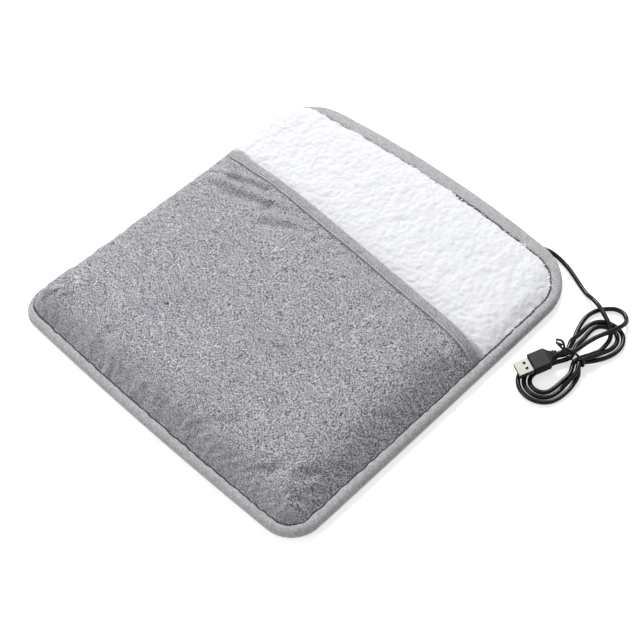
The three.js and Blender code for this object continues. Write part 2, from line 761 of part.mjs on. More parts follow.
// Heating wire: straight runs joined by half turns, and a return lane back to the bay.
const crimpLevel = wadBottom + crimpDiameter / 2;
const crimpGrip = crimpLength / 3;
function heatingWirePoints() {
  const radius = wirePitch / 2;
  const points = [[crimpX, crimpNear + crimpGrip, crimpLevel]];
  for (const [turned, gone, risen] of climbShares) {
    points.push([crimpX - wireTurnIn * turned, mix(crimpNear, wireFirstRun, gone),
      mix(crimpLevel, wireLevel, risen)]);
  }
  for (let run = 0; run < wireRuns; run += 1) {
    const y = wireFirstRun - run * wirePitch;
    const isLeftward = run % 2 === 0;
    const end = isLeftward ? wireLeft : wireRight;
    points.push([end, y, wireLevel]);
    if (run < wireRuns - 1) {
      for (let i = 1; i < halfTurnSteps; i += 1) {
        const angle = (Math.PI * i) / halfTurnSteps;
        const side = isLeftward ? -1 : 1;
        points.push([end + side * radius * Math.sin(angle), y - radius * (1 - Math.cos(angle)), wireLevel]);
      }
      points.push([end, y - wirePitch, wireLevel]);
    }
  }
  const turn = wireReturn - wireRight;
  for (let i = 1; i <= laneTurnSteps; i += 1) {
    const angle = (Math.PI / 2) * (i / laneTurnSteps);
    points.push([wireRight + turn * Math.sin(angle), wireLastRun + turn * (1 - Math.cos(angle)), wireLevel]);
  }
  for (const [gone, high] of returnShares) {
    points.push([wireReturn, mix(bayNear, crimpNear, gone), mix(crimpLevel, wireLevel, high)]);
  }
  points.push([wireReturn, crimpNear + crimpGrip, crimpLevel]);
  return points;
}
add(pad, 'heating_wire', tubeGeometry(heatingWirePoints(), wireDiameter / 2, wireSides), wireBrown);

// Splices, the link to the cut-out and the two cores of the cord.
const crimpFar = crimpNear + crimpLength;
const terminalY = casePlaceY + terminalReach;
const terminalLeft = casePlaceX - terminalSpread / 2;
const terminalRight = casePlaceX + terminalSpread / 2;
const fixedLevel = wadBottom + caseWall + fit;
const movingLevel = fixedLevel + terminalThickness + contactHeight;
function crimpSleeve(x) {
  const line = (from, to) => [[x, from, crimpLevel], [x, to, crimpLevel]];
  return cut(tubeGeometry(line(crimpNear, crimpFar), crimpDiameter / 2, crimpSides),
    tubeGeometry(line(crimpNear - fit, crimpFar + fit), wireDiameter / 2 + fit / 2, crimpSides));
}
add(pad, 'crimp_sleeve_1', crimpSleeve(crimpX), steel);
add(pad, 'crimp_sleeve_2', crimpSleeve(wireReturn), steel);
const coreRadius = coreDiameter / 2;
const [stopX, stopY, stopLevel] = tailRoute[0];
const between = (from, to, shares) => shares.map(
  (share) => share.map((part, axis) => mix(from[axis], to[axis], part)));
const linkRoute = [[crimpX, crimpFar - crimpGrip, crimpLevel], [crimpX, crimpFar + crimpGrip, crimpLevel],
  ...linkShares.map(([gone, out]) => [mix(crimpX, terminalLeft, gone), terminalY + linkReach * out,
    crimpLevel]),
  [terminalLeft, terminalY + fit, crimpLevel]];
const redStart = [stopX - coreApart, stopY - coreStart, stopLevel + coreClimb];
const redEnd = [terminalRight, terminalY + fit, crimpLevel];
const redRoute = [redStart, ...between(redStart, redEnd, redShares), redEnd];
const blackStart = [stopX + coreApart, stopY - coreStart, stopLevel + coreClimb];
const blackEnd = [wireReturn, crimpFar + coreStraight, crimpLevel];
const blackRoute = [blackStart, ...between(blackStart, blackEnd, blackShares), blackEnd,
  [wireReturn, crimpFar - crimpGrip, crimpLevel]];
add(pad, 'link_wire', tubeGeometry(smoothRoute(linkRoute, linkSteps), coreRadius, wireSides), coreRed);
add(pad, 'core_red', tubeGeometry(smoothRoute(redRoute, redSteps), coreRadius, wireSides), coreRed);
add(pad, 'core_black', tubeGeometry(smoothRoute(blackRoute, blackSteps), coreRadius, wireSides), coreBlack);

// Thermal cut-out: a metal case, a plug with two terminals, and a sprung arm that carries the contact.
const caseNear = casePlaceY - caseLength;
const caseLeft = casePlaceX - caseWidth / 2;
const caseRight = casePlaceX + caseWidth / 2;
add(pad, 'thermostat_case', cut(
  block([caseLeft, caseNear, wadBottom], [caseRight, casePlaceY, wadBottom + caseHeight]),
  block([caseLeft + caseWall, caseNear + caseWall, wadBottom + caseWall],
    [caseRight - caseWall, casePlaceY + caseWall, wadBottom + caseHeight - caseWall]),
), steel);
const slotRoom = fit / 3;
const stripRoom = (x, level) => block(
  [x - terminalWidth / 2 - slotRoom, casePlaceY - 2 * plugLength, level - slotRoom],
  [x + terminalWidth / 2 + slotRoom, casePlaceY + plugLength, level + terminalThickness + slotRoom]);
add(pad, 'thermostat_plug', cut(
  block([caseLeft + caseWall + slotRoom, casePlaceY - plugLength, wadBottom + caseWall + slotRoom],
    [caseRight - caseWall - slotRoom, casePlaceY, wadBottom + caseHeight - caseWall - slotRoom]),
  stripRoom(terminalLeft, fixedLevel), stripRoom(terminalRight, movingLevel),
), insulator);
const strip = (x, level, from, to, width, thickness) => block(
  [x - width / 2, from, level], [x + width / 2, to, level + thickness]);
const button = (x, y, level, height) => {
  const disc = new THREE.CylinderGeometry(contactDiameter / 2, contactDiameter / 2, height, crimpSides);
  disc.rotateX(Math.PI / 2);
  disc.translate(x, y, level + height / 2);
  return disc;
};
const contactY = caseNear + contactInset;
const armEnd = contactY + armLength;
const fixedStrip = join(
  strip(terminalLeft, fixedLevel, armEnd - armLap, terminalY, terminalWidth, terminalThickness),
  strip(casePlaceX, fixedLevel, contactY - armOverhang, armEnd, terminalWidth, terminalThickness),
  button(casePlaceX, contactY, fixedLevel + terminalThickness, contactHeight));
add(pad, 'thermostat_fixed_terminal', fixedStrip, brass);

add(pad, 'thermostat_moving_terminal', join(
  strip(terminalRight, movingLevel, armEnd - armLap, terminalY, terminalWidth, terminalThickness),
  block([casePlaceX - armWidth / 2, armEnd - armLap, movingLevel],
    [terminalRight, armEnd, movingLevel + terminalThickness])), brass);
const armLevel = movingLevel + terminalThickness + contactGap;
const contactTop = fixedLevel + terminalThickness + contactHeight;
add(pad, 'bimetal_arm', join(
  strip(casePlaceX, armLevel, contactY - armOverhang, armEnd, armWidth, armThickness),
  button(casePlaceX, contactY, contactTop + contactGap,
    armLevel - contactTop - contactGap + armThickness / 2),
), brass);

// Sleeve that stops the cord from being pulled out of the pad.
const stopNear = stopY + stopInset;
add(pad, 'cord_stop_sleeve', cut(
  tubeGeometry([[stopX, stopNear, stopLevel], [stopX, stopNear + stopLength, stopLevel]], stopDiameter / 2,
    stopSides),
  tubeGeometry(tailPoints, cordRadius + fit / 2, stopSides)), coreBlack);
add(pad, 'cord_tail', tubeGeometry(tailPoints, cordRadius, cordSides), cordBlack);

// Plug frame: along the plug from its tip, across it and up from its middle plane.
const heading = THREE.MathUtils.degToRad(plugHeading);
const tilt = THREE.MathUtils.degToRad(plugRise);
const plugPlace = new THREE.Matrix4()
  .makeTranslation(plugTipX + shiftX, plugTipY + shiftY, plugTipLevel)
  .multiply(new THREE.Matrix4().makeRotationZ(-heading))
  .multiply(new THREE.Matrix4().makeRotationX(tilt));
const onPlug = (across, along, up) => new THREE.Vector3(across, along, up).applyMatrix4(plugPlace).toArray();

// Hank: three nested loops in one run of cord, drawn in at the waist where two of them lie in a pair.
const hankMiddleX = hankX + shiftX;
const hankMiddleY = hankY + shiftY;
const turnStep = Math.PI / 3072;
function hankPoint(turn, order) {
  const isUpper = Math.sin(turn) < 0;
  const length = isUpper ? upperLobeLength : lowerLobeLength;
  const spread = isUpper ? upperLobeSpread : lowerLobeSpread;
  const shift = isUpper ? upperLobeShift : lowerLobeShift;
  const shiftRun = isUpper ? upperLobeRun : lowerLobeRun;
  const power = isUpper ? upperSpreadPower : lowerSpreadPower;
  const along = (angle) => -length * Math.sin(angle);
  const across = (angle) => Math.cos(angle)
    * (waistHalfWidth + spread * Math.abs(Math.sin(angle)) ** power);
  const run = [across, along].map((way) => way(turn + turnStep) - way(turn - turnStep));
  const size = Math.hypot(...run);
  const distance = Math.abs(along(turn));
  const closeness = smooth(1 - distance / (isUpper ? upperWaistRun : lowerWaistRun));
  const quarter = (Math.PI / 2) * closeness;
  const insets = [0, strandPitch * Math.cos(quarter), strandPitch * (2 - closeness ** 2)];
  const climbs = [0, strandPitch * Math.sin(quarter), 0];
  const low = Math.min(1, Math.floor(order));
  const inset = mix(insets[low], insets[low + 1], order - low);
  const climb = mix(climbs[low], climbs[low + 1], order - low);
  const x = hankMiddleX + shift * smooth(distance / shiftRun) + across(turn) + (run[1] / size) * inset;
  const y = hankMiddleY + along(turn) - (run[0] / size) * inset;
  return [x, y, cordLevel + waistLift * closeness + climb];
}

function hankPoints() {
  const points = [];
  for (let i = -hankLeadSteps; i <= (loopCount - 0.5) * loopSteps; i += 1) {
    const place = i / loopSteps;
    const loop = Math.floor(place);
    const shift = smooth((place - loop - shiftStartShare) / (shiftEndShare - shiftStartShare));
    points.push(hankPoint(2 * Math.PI * place, loopCount - 1 - loop - shift));
  }
  const start = new THREE.Vector3(...points[0]);
  const away = start.clone().sub(new THREE.Vector3(...points[1])).normalize();
  const onward = start.clone().addScaledVector(away, cordDiameter);
  const neck = shellOut + bodyLength + neckLength + fit;
  const beyond = [...farRoute, onPlug(0, neck + cordDiameter, 0)];
  const far = smoothRoute([points[points.length - 1], ...beyond], farSteps);
  return [onward.toArray(), ...points, ...far.slice(1), onPlug(0, neck, 0)];
}
const hank = hankPoints();
const hankStart = new THREE.Vector3(...hank[0]);
const backward = hankStart.clone().sub(new THREE.Vector3(...hank[1])).normalize();
const leadEnd = hankStart.clone().addScaledVector(backward, fit);
const leadBend = leadEnd.clone().addScaledVector(backward, cordDiameter);
const leadPoints = smoothRoute([...leadRoute, leadBend.toArray(), leadEnd.toArray()], leadSteps);
add(pad, 'usb_lead', tubeGeometry(leadPoints, cordRadius, cordSides), cordBlack);
add(pad, 'usb_hank', tubeGeometry(hank, cordRadius, hankSides), cordBlack);

// Plug: a moulded grip with shoulders and a neck, a folded metal shell, a tongue and its four contacts.
const backOfShell = shellOut + bodyLength;
const plugBlock = (width, from, to, low, high, x = 0) => block(
  [x - width / 2, from, low], [x + width / 2, to, high]);
const boxOutline = (width, height, corner) => {
  const [w, h] = [width / 2, height / 2];
  return [[w - corner, -h], [w, -h + corner], [w, h - corner], [w - corner, h], [-w + corner, h],
    [-w, h - corner], [-w, -h + corner], [-w + corner, -h]];
};
function gripGeometry() {
  const stations = [[shellOut, bodyWidth - bodyCorner, bodyHeight - bodyCorner, bodyCorner],
    [shellOut + bodyCorner, bodyWidth, bodyHeight, bodyCorner],
    [backOfShell - bodyShoulder, bodyWidth, bodyHeight, bodyCorner],
    [backOfShell, neckWidth, neckHeight, bodyCorner],
    [backOfShell + neckLength / 2, (neckWidth + neckEndWidth) / 2, (neckHeight + neckEndWidth) / 2,
      bodyCorner],
    [backOfShell + neckLength, neckEndWidth, neckEndWidth, bodyCorner]];
  return ringSolid(stations.map(([along, width, height, corner]) => boxOutline(width, height, corner)
    .map(([x, z]) => [x, along, z])), false);
}
const seat = shellLength - shellOut;
const grip = cut(gripGeometry(), plugBlock(shellWidth + 2 * fit, shellOut - bodyCorner, shellOut + seat + fit,
  -shellHeight / 2 - fit, shellHeight / 2 + fit));
const room = shellWidth - 2 * shellWall;
const windowTool = (x, side) => plugBlock(
  windowSize, windowPlace - windowSize / 2, windowPlace + windowSize / 2,
  side * shellHeight / 2 - shellWall, side * shellHeight / 2 + shellWall, x);
const windowTools = [-1, 1].flatMap(
  (side) => [-1, 1].map((hand) => windowTool(hand * windowSpread / 2, side)));
const shell = cut(plugBlock(shellWidth, 0, shellLength, -shellHeight / 2, shellHeight / 2),
  plugBlock(room, -shellWall, shellLength + shellWall, -shellHeight / 2 + shellWall,
    shellHeight / 2 - shellWall),
  ...windowTools);
const tongueLow = -shellHeight / 2 + shellWall + fit / 3;
const tongueTop = tongueLow + tongueHeight;
const tongue = plugBlock(tongueWidth, tongueRecess, tongueRecess + tongueLength, tongueLow, tongueTop);
const stripNear = tongueRecess + contactStripWidth;
const plugPieces = [['usb_grip', grip, plugBlack], ['usb_shell', shell, steel],
  ['usb_tongue', tongue, tongueWhite]];
contactPlaces.forEach((x, index) => plugPieces.push([`usb_contact_${index + 1}`,
  plugBlock(contactStripWidth, stripNear, stripNear + contactStripLength, tongueTop,
    tongueTop + contactStripHeight, x), brass]));
for (const [name, geometry, finish] of plugPieces) {
  geometry.applyMatrix4(plugPlace);
  add(pad, name, geometry, finish);
}

// Tie: a flat wire bent round the waist of the hank, with its two ends twisted together.
const tieInner = [[-tieHalf, tieLow], [tieHalf, tieLow], [tieHalf, tieSide], [tieCrown, tieTop],
  [-tieCrown, tieTop], [-tieHalf, tieSide]];
const tieCentre = (tieLow + tieTop) / 2;
const grown = tieInner.map(([x, z]) => [x * (1 + tieThickness / tieHalf),
  tieCentre + (z - tieCentre) * (1 + tieThickness / (tieTop - tieCentre))]);
const tieShape = new THREE.Shape(grown.map(([x, z]) => new THREE.Vector2(x, z)));
tieShape.holes.push(new THREE.Path([...tieInner].reverse().map(([x, z]) => new THREE.Vector2(x, z))));
const tieBand = new THREE.ExtrudeGeometry(tieShape, { depth: tieWidth, bevelEnabled: false });
tieBand.rotateX(Math.PI / 2);
tieBand.translate(0, tieWidth / 2, 0);
const tieTail = ringSolid(Array.from({ length: tieTailSteps + 1 }, (_, i) => {
  const share = i / tieTailSteps;
  const turn = tieTailTwist * share;
  const centre = [-tieHalf - tieTailLength * share, 0, tieSide + tieThickness + tieTailRise * share];
  return tailCornerShares.map(([a, b]) => [centre[0],
    centre[1] + (tieTailWidth / 2) * (a * Math.cos(turn) - b * Math.sin(turn)),
    centre[2] + (tieTailWidth / 2) * (a * Math.sin(turn) + b * Math.cos(turn))]);
}), false);
const tie = join(tieBand, tieTail);
tie.translate(hankMiddleX, hankMiddleY, 0);
add(pad, 'twist_tie', tie, cordBlack);

// Smallest clearance between parts of the cord that lie apart along it.
const skippedDiameters = 3;
function leastCordGap(points) {
  const reach = skippedDiameters * cordDiameter;
  const lengths = [0];
  for (let i = 1; i < points.length; i += 1) {
    lengths.push(lengths[i - 1] + Math.hypot(...points[i].map((value, axis) => value - points[i - 1][axis])));
  }
  let least = Infinity;
  const dense = [];
  points.slice(1).forEach((point, i) => {
    for (const share of [0, 0.25, 0.5, 0.75]) {
      dense.push({ place: points[i].map((value, axis) => mix(value, point[axis], share)),
        length: mix(lengths[i], lengths[i + 1], share) });
    }
  });
  for (let i = 0; i < dense.length; i += 1) {
    for (let j = i + 1; j < dense.length; j += 1) {
      if (dense[j].length - dense[i].length < reach) continue;
      const away = Math.hypot(...dense[i].place.map((value, axis) => value - dense[j].place[axis]));
      least = Math.min(least, away - cordDiameter);
    }
  }
  return least;
}
console.log('least gap of the hank', leastCordGap(hank).toFixed(2));

// The origin is under the middle of the pad, on the surface that it lies on.
const padBounds = new THREE.Box3().setFromObject(pad.getObjectByName('edge_binding'));
const padMiddle = padBounds.getCenter(new THREE.Vector3());
pad.position.set(-padMiddle.x, -padMiddle.y, 0);

export default pad;
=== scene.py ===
"""Heated fleece pad with a sewn pocket, its tied lead and its flat plug. Lengths in the plan are millimetres
in the pad's own frame; the model's frame is the same, moved so that the origin is under the pad's middle."""
import math
import random

import bmesh
import bpy
import numpy as np
from mathutils import Matrix, Vector


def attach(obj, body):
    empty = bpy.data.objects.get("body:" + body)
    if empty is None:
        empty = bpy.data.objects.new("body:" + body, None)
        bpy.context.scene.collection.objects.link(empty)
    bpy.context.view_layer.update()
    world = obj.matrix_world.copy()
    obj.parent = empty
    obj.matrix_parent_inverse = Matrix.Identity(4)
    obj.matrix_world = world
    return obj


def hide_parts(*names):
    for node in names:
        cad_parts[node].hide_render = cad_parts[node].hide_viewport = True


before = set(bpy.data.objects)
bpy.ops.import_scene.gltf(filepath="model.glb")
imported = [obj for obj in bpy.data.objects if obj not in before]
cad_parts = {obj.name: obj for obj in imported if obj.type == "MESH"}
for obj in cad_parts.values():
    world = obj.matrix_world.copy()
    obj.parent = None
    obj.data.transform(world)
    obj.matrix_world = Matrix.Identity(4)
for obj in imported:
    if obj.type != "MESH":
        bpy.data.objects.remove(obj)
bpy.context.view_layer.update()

MM = 0.001
SHIFT = np.array([-1.127, -4.75, 0.0])

# Plan of the pad.
HALF_WIDTH, HALF_DEPTH = 155.0, 158.1
NEAR_RADIUS, FAR_RADIUS = 25.0, 41.0
NEAR_BOW, FAR_BOW, RIGHT_BOW, LEFT_DRAW = 3.1, 12.6, 0.8, 5.0
COVER_RIGHT, COVER_LEFT, COVER_NEAR, COVER_FAR = 8.0, 4.5, 7.0, 11.5
HEM, HEM_LEFT = 9.0, 12.0
BINDING_HEIGHT = 8.4
MOUTH_PLACE, MOUTH_SLOPE = 58.0, -11.0 / 147.0
MOUTH_TAPE = 9.0

# Levels of the cloths, where they lie free and where the pocket is pinched in its seams.
SHERPA_TOP, LINING_UNDERSIDE, PINCHED = 14.15, 20.05, 5.0
PLUSH_THICKNESS, LINING_THICKNESS, BACK_THICKNESS = 1.3, 1.2, 1.1
# Distances inside the outline of the cloths' edges and of the filling's, and of the pocket's free edge from
# the mouth's line.
CLOTH_INSET, FILL_INSET, MOUTH_INSET = 3.0, 18.0, 1.6
# Width of the cloths, from which their columns are spaced.
CLOTH_WIDTH = 300
# Grid of the front while it settles, and the furthest that a point of it may move.
SETTLE_STEP, MOST_MOVE = 3.0, 1.6
# How far the mouth's left end sinks and draws back.
SAG, BEND = 6.0, 2.4
# Ends of the mouth's tape, and how fast it grows full from them.
TAPE_LEFT, TAPE_RIGHT, TAPE_RUN = -150.2, 146.9, 9
# Share of the sherpa's curls that stands out where it shows, and of the lining's.
OPEN_CURLS, LINING_CURLS = 0.75, 0.5

# Lead and tie.
CORD_DIAMETER, CORD_LEVEL, TIE_DIAMETER = 3.5, 1.8, 1.8


def clamp(value):
    return np.clip(value, 0.0, 1.0)


def mix(a, b, share):
    return a + (b - a) * share


def ease(value):
    value = clamp(value)
    return value * value * (3 - 2 * value)


def rise(distance, run, power):
    return 1 - (1 - clamp(distance / run)) ** power


def to_model(points):
    """Points of the pad's frame in millimetres as points of the model in metres."""
    return (np.asarray(points, float) + SHIFT) * MM


def soft_noise(x, y, seed):
    """Smooth noise over the plan, from about -1 to 1, with cells of unit size."""
    table = np.random.default_rng(seed).uniform(0, 2 * np.pi, (64, 64))
    column, row = np.floor(x).astype(int), np.floor(y).astype(int)
    in_x, in_y = x - column, y - row
    total = np.zeros_like(in_x)
    for step_x in (0, 1):
        for step_y in (0, 1):
            angle = table[(column + step_x) % 64, (row + step_y) % 64]
            pull = np.cos(angle) * (in_x - step_x) + np.sin(angle) * (in_y - step_y)
            share_x = ease(in_x) if step_x else 1 - ease(in_x)
            share_y = ease(in_y) if step_y else 1 - ease(in_y)
            total += pull * share_x * share_y
    return 1.5 * total


def line_noise(along, row, seed):
    """Smooth noise along a line, read from one row of the noise over the plan."""
    return soft_noise(along, np.full(along.shape, row), seed)


def curl_cells(x, y, seed):
    """Distance to the nearest of scattered middles, in cells: low in a curl, high in the grooves between."""
    shifts = np.random.default_rng(seed).uniform(0, 1, (2, 64, 64))
    column, row = np.floor(x).astype(int), np.floor(y).astype(int)
    nearest = np.full(x.shape, 9.0)
    for step_x in (-1, 0, 1):
        for step_y in (-1, 0, 1):
            at = ((column + step_x) % 64, (row + step_y) % 64)
            away_x = column + step_x + shifts[0][at] - x
            away_y = row + step_y + shifts[1][at] - y
            nearest = np.minimum(nearest, np.hypot(away_x, away_y))
    return nearest


# Plan of the sewn pad.


def edge_of(x, y):
    """Distance inside the outline, and the outward direction, at points of the plan."""
    radius = np.where(y < 0, NEAR_RADIUS, FAR_RADIUS)
    over_x = np.abs(x) - (HALF_WIDTH - radius)
    over_y = np.abs(y) - (HALF_DEPTH - radius)
    reach = np.maximum(np.hypot(over_x, over_y), 1e-6)
    is_corner = (over_x > 0) & (over_y > 0)
    from_side = HALF_WIDTH - np.abs(x)
    from_end = HALF_DEPTH - np.abs(y)
    is_side = from_side < from_end
    inside = np.where(is_corner, radius - reach, np.minimum(from_side, from_end))
    nx = np.sign(x) * np.where(is_corner, over_x / reach, np.where(is_side, 1.0, 0.0))
    ny = np.sign(y) * np.where(is_corner, over_y / reach, np.where(is_side, 0.0, 1.0))
    return inside, nx, ny


def top_cover(nx, ny):
    return nx**2 * np.where(nx > 0, COVER_RIGHT, COVER_LEFT) + ny**2 * np.where(ny > 0, COVER_FAR, COVER_NEAR)


def bottom_cover(nx, ny):
    return nx**2 * np.where(nx > 0, HEM, HEM_LEFT) + ny**2 * HEM


def seam_distance(x, y):
    inside, nx, ny = edge_of(x, y)
    return inside - top_cover(nx, ny)


def sewn(x, y):
    """The plan with its bowed ends and its left side drawn in."""
    across = 1 - (x / HALF_WIDTH) ** 2
    along = 1 - (y / HALF_DEPTH) ** 2
    bow = np.where(y > 0, FAR_BOW, -NEAR_BOW)
    side = np.where(x > 0, RIGHT_BOW, LEFT_DRAW)
    return x + side * (x / HALF_WIDTH) ** 2 * along, y + bow * (y / HALF_DEPTH) ** 2 * across


def mouth_line(x):
    return MOUTH_PLACE + MOUTH_SLOPE * x


def plan_grid(inset, columns, rows):
    """x and y over the plan inside an inset, with columns as shares across and rows as y at x = 0."""
    y = np.repeat(np.asarray(rows)[:, None], len(columns), axis=1)
    radius = np.where(y < 0, NEAR_RADIUS, FAR_RADIUS) - inset
    over = np.clip(np.abs(y) - (HALF_DEPTH - inset - radius), 0, None)
    pulled = radius - np.sqrt(np.clip(radius**2 - over**2, 0, None))
    half = HALF_WIDTH - inset - pulled
    x = half * (2 * np.asarray(columns)[None, :] - 1)
    hold, spread = 0.12 * 2 * HALF_DEPTH, 0.19 * 2 * HALF_DEPTH
    share = clamp((spread - np.abs(y - MOUTH_PLACE)) / (spread - hold))
    return x, y + MOUTH_SLOPE * x * share


# Making pieces.


def new_object(name, data):
    """A new object of the scene."""
    made = bpy.data.objects.new(name, data)
    bpy.context.scene.collection.objects.link(made)
    return made


def new_piece(name, bm, material, smooth=True):
    """A finished piece from a mesh in metres in the model's frame."""
    bmesh.ops.recalc_face_normals(bm, faces=bm.faces)
    mesh = bpy.data.meshes.new(name)
    bm.to_mesh(mesh)
    bm.free()
    mesh.materials.append(material)
    if smooth:
        mesh.polygons.foreach_set("use_smooth", [True] * len(mesh.polygons))
    return new_object(name, mesh)


def finish_piece(piece, replaced=()):
    """The piece rides on the pad and the CAD nodes that it stands for."""
    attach(piece, "pad")
    if replaced:
        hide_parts(*replaced)
    return piece


def thicken(piece, thickness, offset):
    """Gives a layer its thickness in millimetres: offset -1 is downwards, 1 upwards and 0 both ways."""
    layer = piece.modifiers.new("thickness", "SOLIDIFY")
    layer.thickness = thickness * MM
    layer.offset = offset


def grid_mesh(points):
    """A mesh of squares whose corners are the points of a rows by columns array, in metres, row by row."""
    rows, columns = points.shape[:2]
    bm = bmesh.new()
    bmesh.ops.create_grid(bm, x_segments=columns - 1, y_segments=rows - 1, size=1)
    for vertex in bm.verts:
        column = round((vertex.co.x + 1) / 2 * (columns - 1))
        row = round((vertex.co.y + 1) / 2 * (rows - 1))
        vertex.co = points[row, column]
    return bm


def lifted(plan_x, plan_y, level):
    """Points of the model at levels over points of the plan."""
    return to_model(np.stack([plan_x, plan_y, level], axis=-1))


def slab_mesh(top, bottom):
    """A closed layer between two rows by columns arrays of points, in metres."""
    bm = grid_mesh(top)
    lowered = np.asarray(bottom).reshape(-1, 3)
    mark = bm.verts.layers.int.new("corner")
    for index, vertex in enumerate(bm.verts):
        vertex[mark] = index
    grown = bmesh.ops.extrude_face_region(bm, geom=bm.faces[:], use_keep_orig=True)
    for part in grown["geom"]:
        if isinstance(part, bmesh.types.BMVert):
            part.co = lowered[part[mark]]
    return bm


def skin_mesh(rings, is_loop=False):
    """A mesh through rings of points, each ring closed, and the whole closed round or capped at its ends."""
    rings = np.asarray(rings, float)
    rings = np.concatenate([rings, rings[:, :1]], axis=1)
    if is_loop:
        rings = np.concatenate([rings, rings[:1]], axis=0)
    bm = grid_mesh(rings)
    bmesh.ops.remove_doubles(bm, verts=bm.verts, dist=1e-7)
    if not is_loop:
        bmesh.ops.holes_fill(bm, edges=[e for e in bm.edges if e.is_boundary], sides=0)
    return bm


def spline(points, steps):
    """Evenly spaced points on one smooth curve through the given points."""
    points = np.asarray(points, float)
    knots = np.r_[0, np.cumsum(np.sqrt(np.linalg.norm(np.diff(points, axis=0), axis=1)))]
    ends = np.vstack([2 * points[0] - points[1], points, 2 * points[-1] - points[-2]])
    places = np.r_[knots[0] - (knots[1] - knots[0]), knots, 2 * knots[-1] - knots[-2]]
    dense = []
    for i in range(len(points) - 1):
        t0, t1, t2, t3 = places[i : i + 4]
        p0, p1, p2, p3 = ends[i : i + 4]
        for t in np.linspace(t1, t2, 40, endpoint=i == len(points) - 2):
            a1 = mix(p0, p1, (t - t0) / (t1 - t0))
            a2 = mix(p1, p2, (t - t1) / (t2 - t1))
            a3 = mix(p2, p3, (t - t2) / (t3 - t2))
            b1 = mix(a1, a2, (t - t0) / (t2 - t0))
            b2 = mix(a2, a3, (t - t1) / (t3 - t1))
            dense.append(mix(b1, b2, (t - t1) / (t2 - t1)))
    dense = np.array(dense)
    length = np.r_[0, np.cumsum(np.linalg.norm(np.diff(dense, axis=0), axis=1))]
    wanted = np.linspace(0, length[-1], steps + 1)
    return np.stack([np.interp(wanted, length, dense[:, axis]) for axis in range(3)], axis=1)


# Materials.


def shader(name):
    """A new material, its node tree and its surface."""
    material = bpy.data.materials.new(name)
    material.use_nodes = True
    tree = material.node_tree
    return material, tree, tree.nodes["Principled BSDF"]


def feed(tree, made, inputs):
    """Fills a node's sockets, given by name or number, with values or from the outputs of other nodes."""
    for key, value in inputs.items():
        if isinstance(value, bpy.types.NodeSocket):
            tree.links.new(value, made.inputs[key])
        else:
            made.inputs[key].default_value = value


def node(tree, kind, inputs, output=0, **properties):
    """A new node's output. Its sockets are fed after its properties are set."""
    made = tree.nodes.new("ShaderNode" + kind)
    for key, value in properties.items():
        setattr(made, key, value)
    feed(tree, made, inputs)
    return made.outputs[output]


def speckle(name, parts):
    """A group that adds up noises over the object's own place. Each part is the size of its cells along x,
    y and z in millimetres, its weight and its detail."""
    group = bpy.data.node_groups.new(name, "ShaderNodeTree")
    group.interface.new_socket("Value", in_out="OUTPUT", socket_type="NodeSocketFloat")
    place = node(group, "TexCoord", {}, "Object")
    total = None
    for *size, weight, detail in parts:
        scaled = node(group, "Mapping", {"Vector": place, "Scale": [1 / (side * MM) for side in size]})
        grain = node(group, "TexNoise", {"Vector": scaled, "Scale": 1.0, "Detail": detail, "Roughness": 0.6})
        part = node(group, "Math", {0: grain, 1: weight, 2: -0.5 * weight}, operation="MULTIPLY_ADD")
        total = part if total is None else node(group, "Math", {0: total, 1: part}, operation="ADD")
    feed(group, group.nodes.new("NodeGroupOutput"), {"Value": total})
    return group


def shade_between(tree, value, low, high, dark, light):
    """A colour from dark to light as a value goes from low to high."""
    share = node(tree, "MapRange", {"Value": value, "From Min": low, "From Max": high})
    return node(tree, "Mix", {"Factor": share, "A": (*dark, 1), "B": (*light, 1)}, "Result", data_type="RGBA")


def bumped(tree, surface, value, height_mm, strength=1.0):
    """Lets a value raise the surface by up to a height in millimetres."""
    normal = node(tree, "Bump", {"Height": value, "Strength": strength, "Distance": height_mm * MM})
    feed(tree, surface, {"Normal": normal})


def cloth_material(name, fine, broad, dark, light, height_mm, tint, tint_share, sheen=0.0, spread=0.35):
    """Cloth with a fine pile that bumps it and darkens its colour in the bump's hollows: the pile's own
    mottling with painted shade between its fibres. Broad brush marks and a soft sheen.
    """
    material, tree, surface = shader(name)
    grain, marks = (node(tree, "Group", {}, node_tree=group) for group in (fine, broad))
    share = node(tree, "MapRange", {"Value": marks, "From Min": -0.3, "From Max": 0.3, "To Max": tint_share})
    # Low places of the grain, which the bump sinks, take the dark colour: painted shade in the pile's hollows
    # over its own mottling.
    colour = shade_between(tree, grain, -spread, spread, dark, light)
    toned = node(tree, "Mix", {"Factor": share, "A": colour, "B": (*tint, 1)}, "Result",
                 data_type="RGBA", blend_type="MULTIPLY")
    feed(tree, surface, {"Base Color": toned, "Roughness": 0.95, "Specular IOR Level": 0.15,
                         "Sheen Weight": sheen, "Sheen Roughness": 0.45})
    bumped(tree, surface, grain, height_mm)
    return material


def moulded_material(name, colour, lighter, roughness, grain_mm, height_mm, metallic=0.0, gloss=0.5):
    """A hard or rubbery surface with a fine grain, faint rubbed patches and uneven gloss."""
    material, tree, surface = shader(name)
    fine = [(grain_mm, grain_mm, grain_mm, 1.0, 2)]
    grain, wear = (node(tree, "Group", {}, node_tree=speckle(f"{name} {kind}", parts))
                   for kind, parts in (("grain", fine), ("wear", WEAR)))
    dull = node(tree, "MapRange", {"Value": wear, "From Min": -0.3, "From Max": 0.3,
                                   "To Min": roughness * 0.8, "To Max": min(1, roughness * 1.25)})
    feed(tree, surface, {"Base Color": shade_between(tree, wear, -0.2, 0.25, colour, lighter),
                         "Roughness": dull, "Metallic": metallic, "Specular IOR Level": gloss})
    bumped(tree, surface, grain, height_mm, 0.6)
    return material


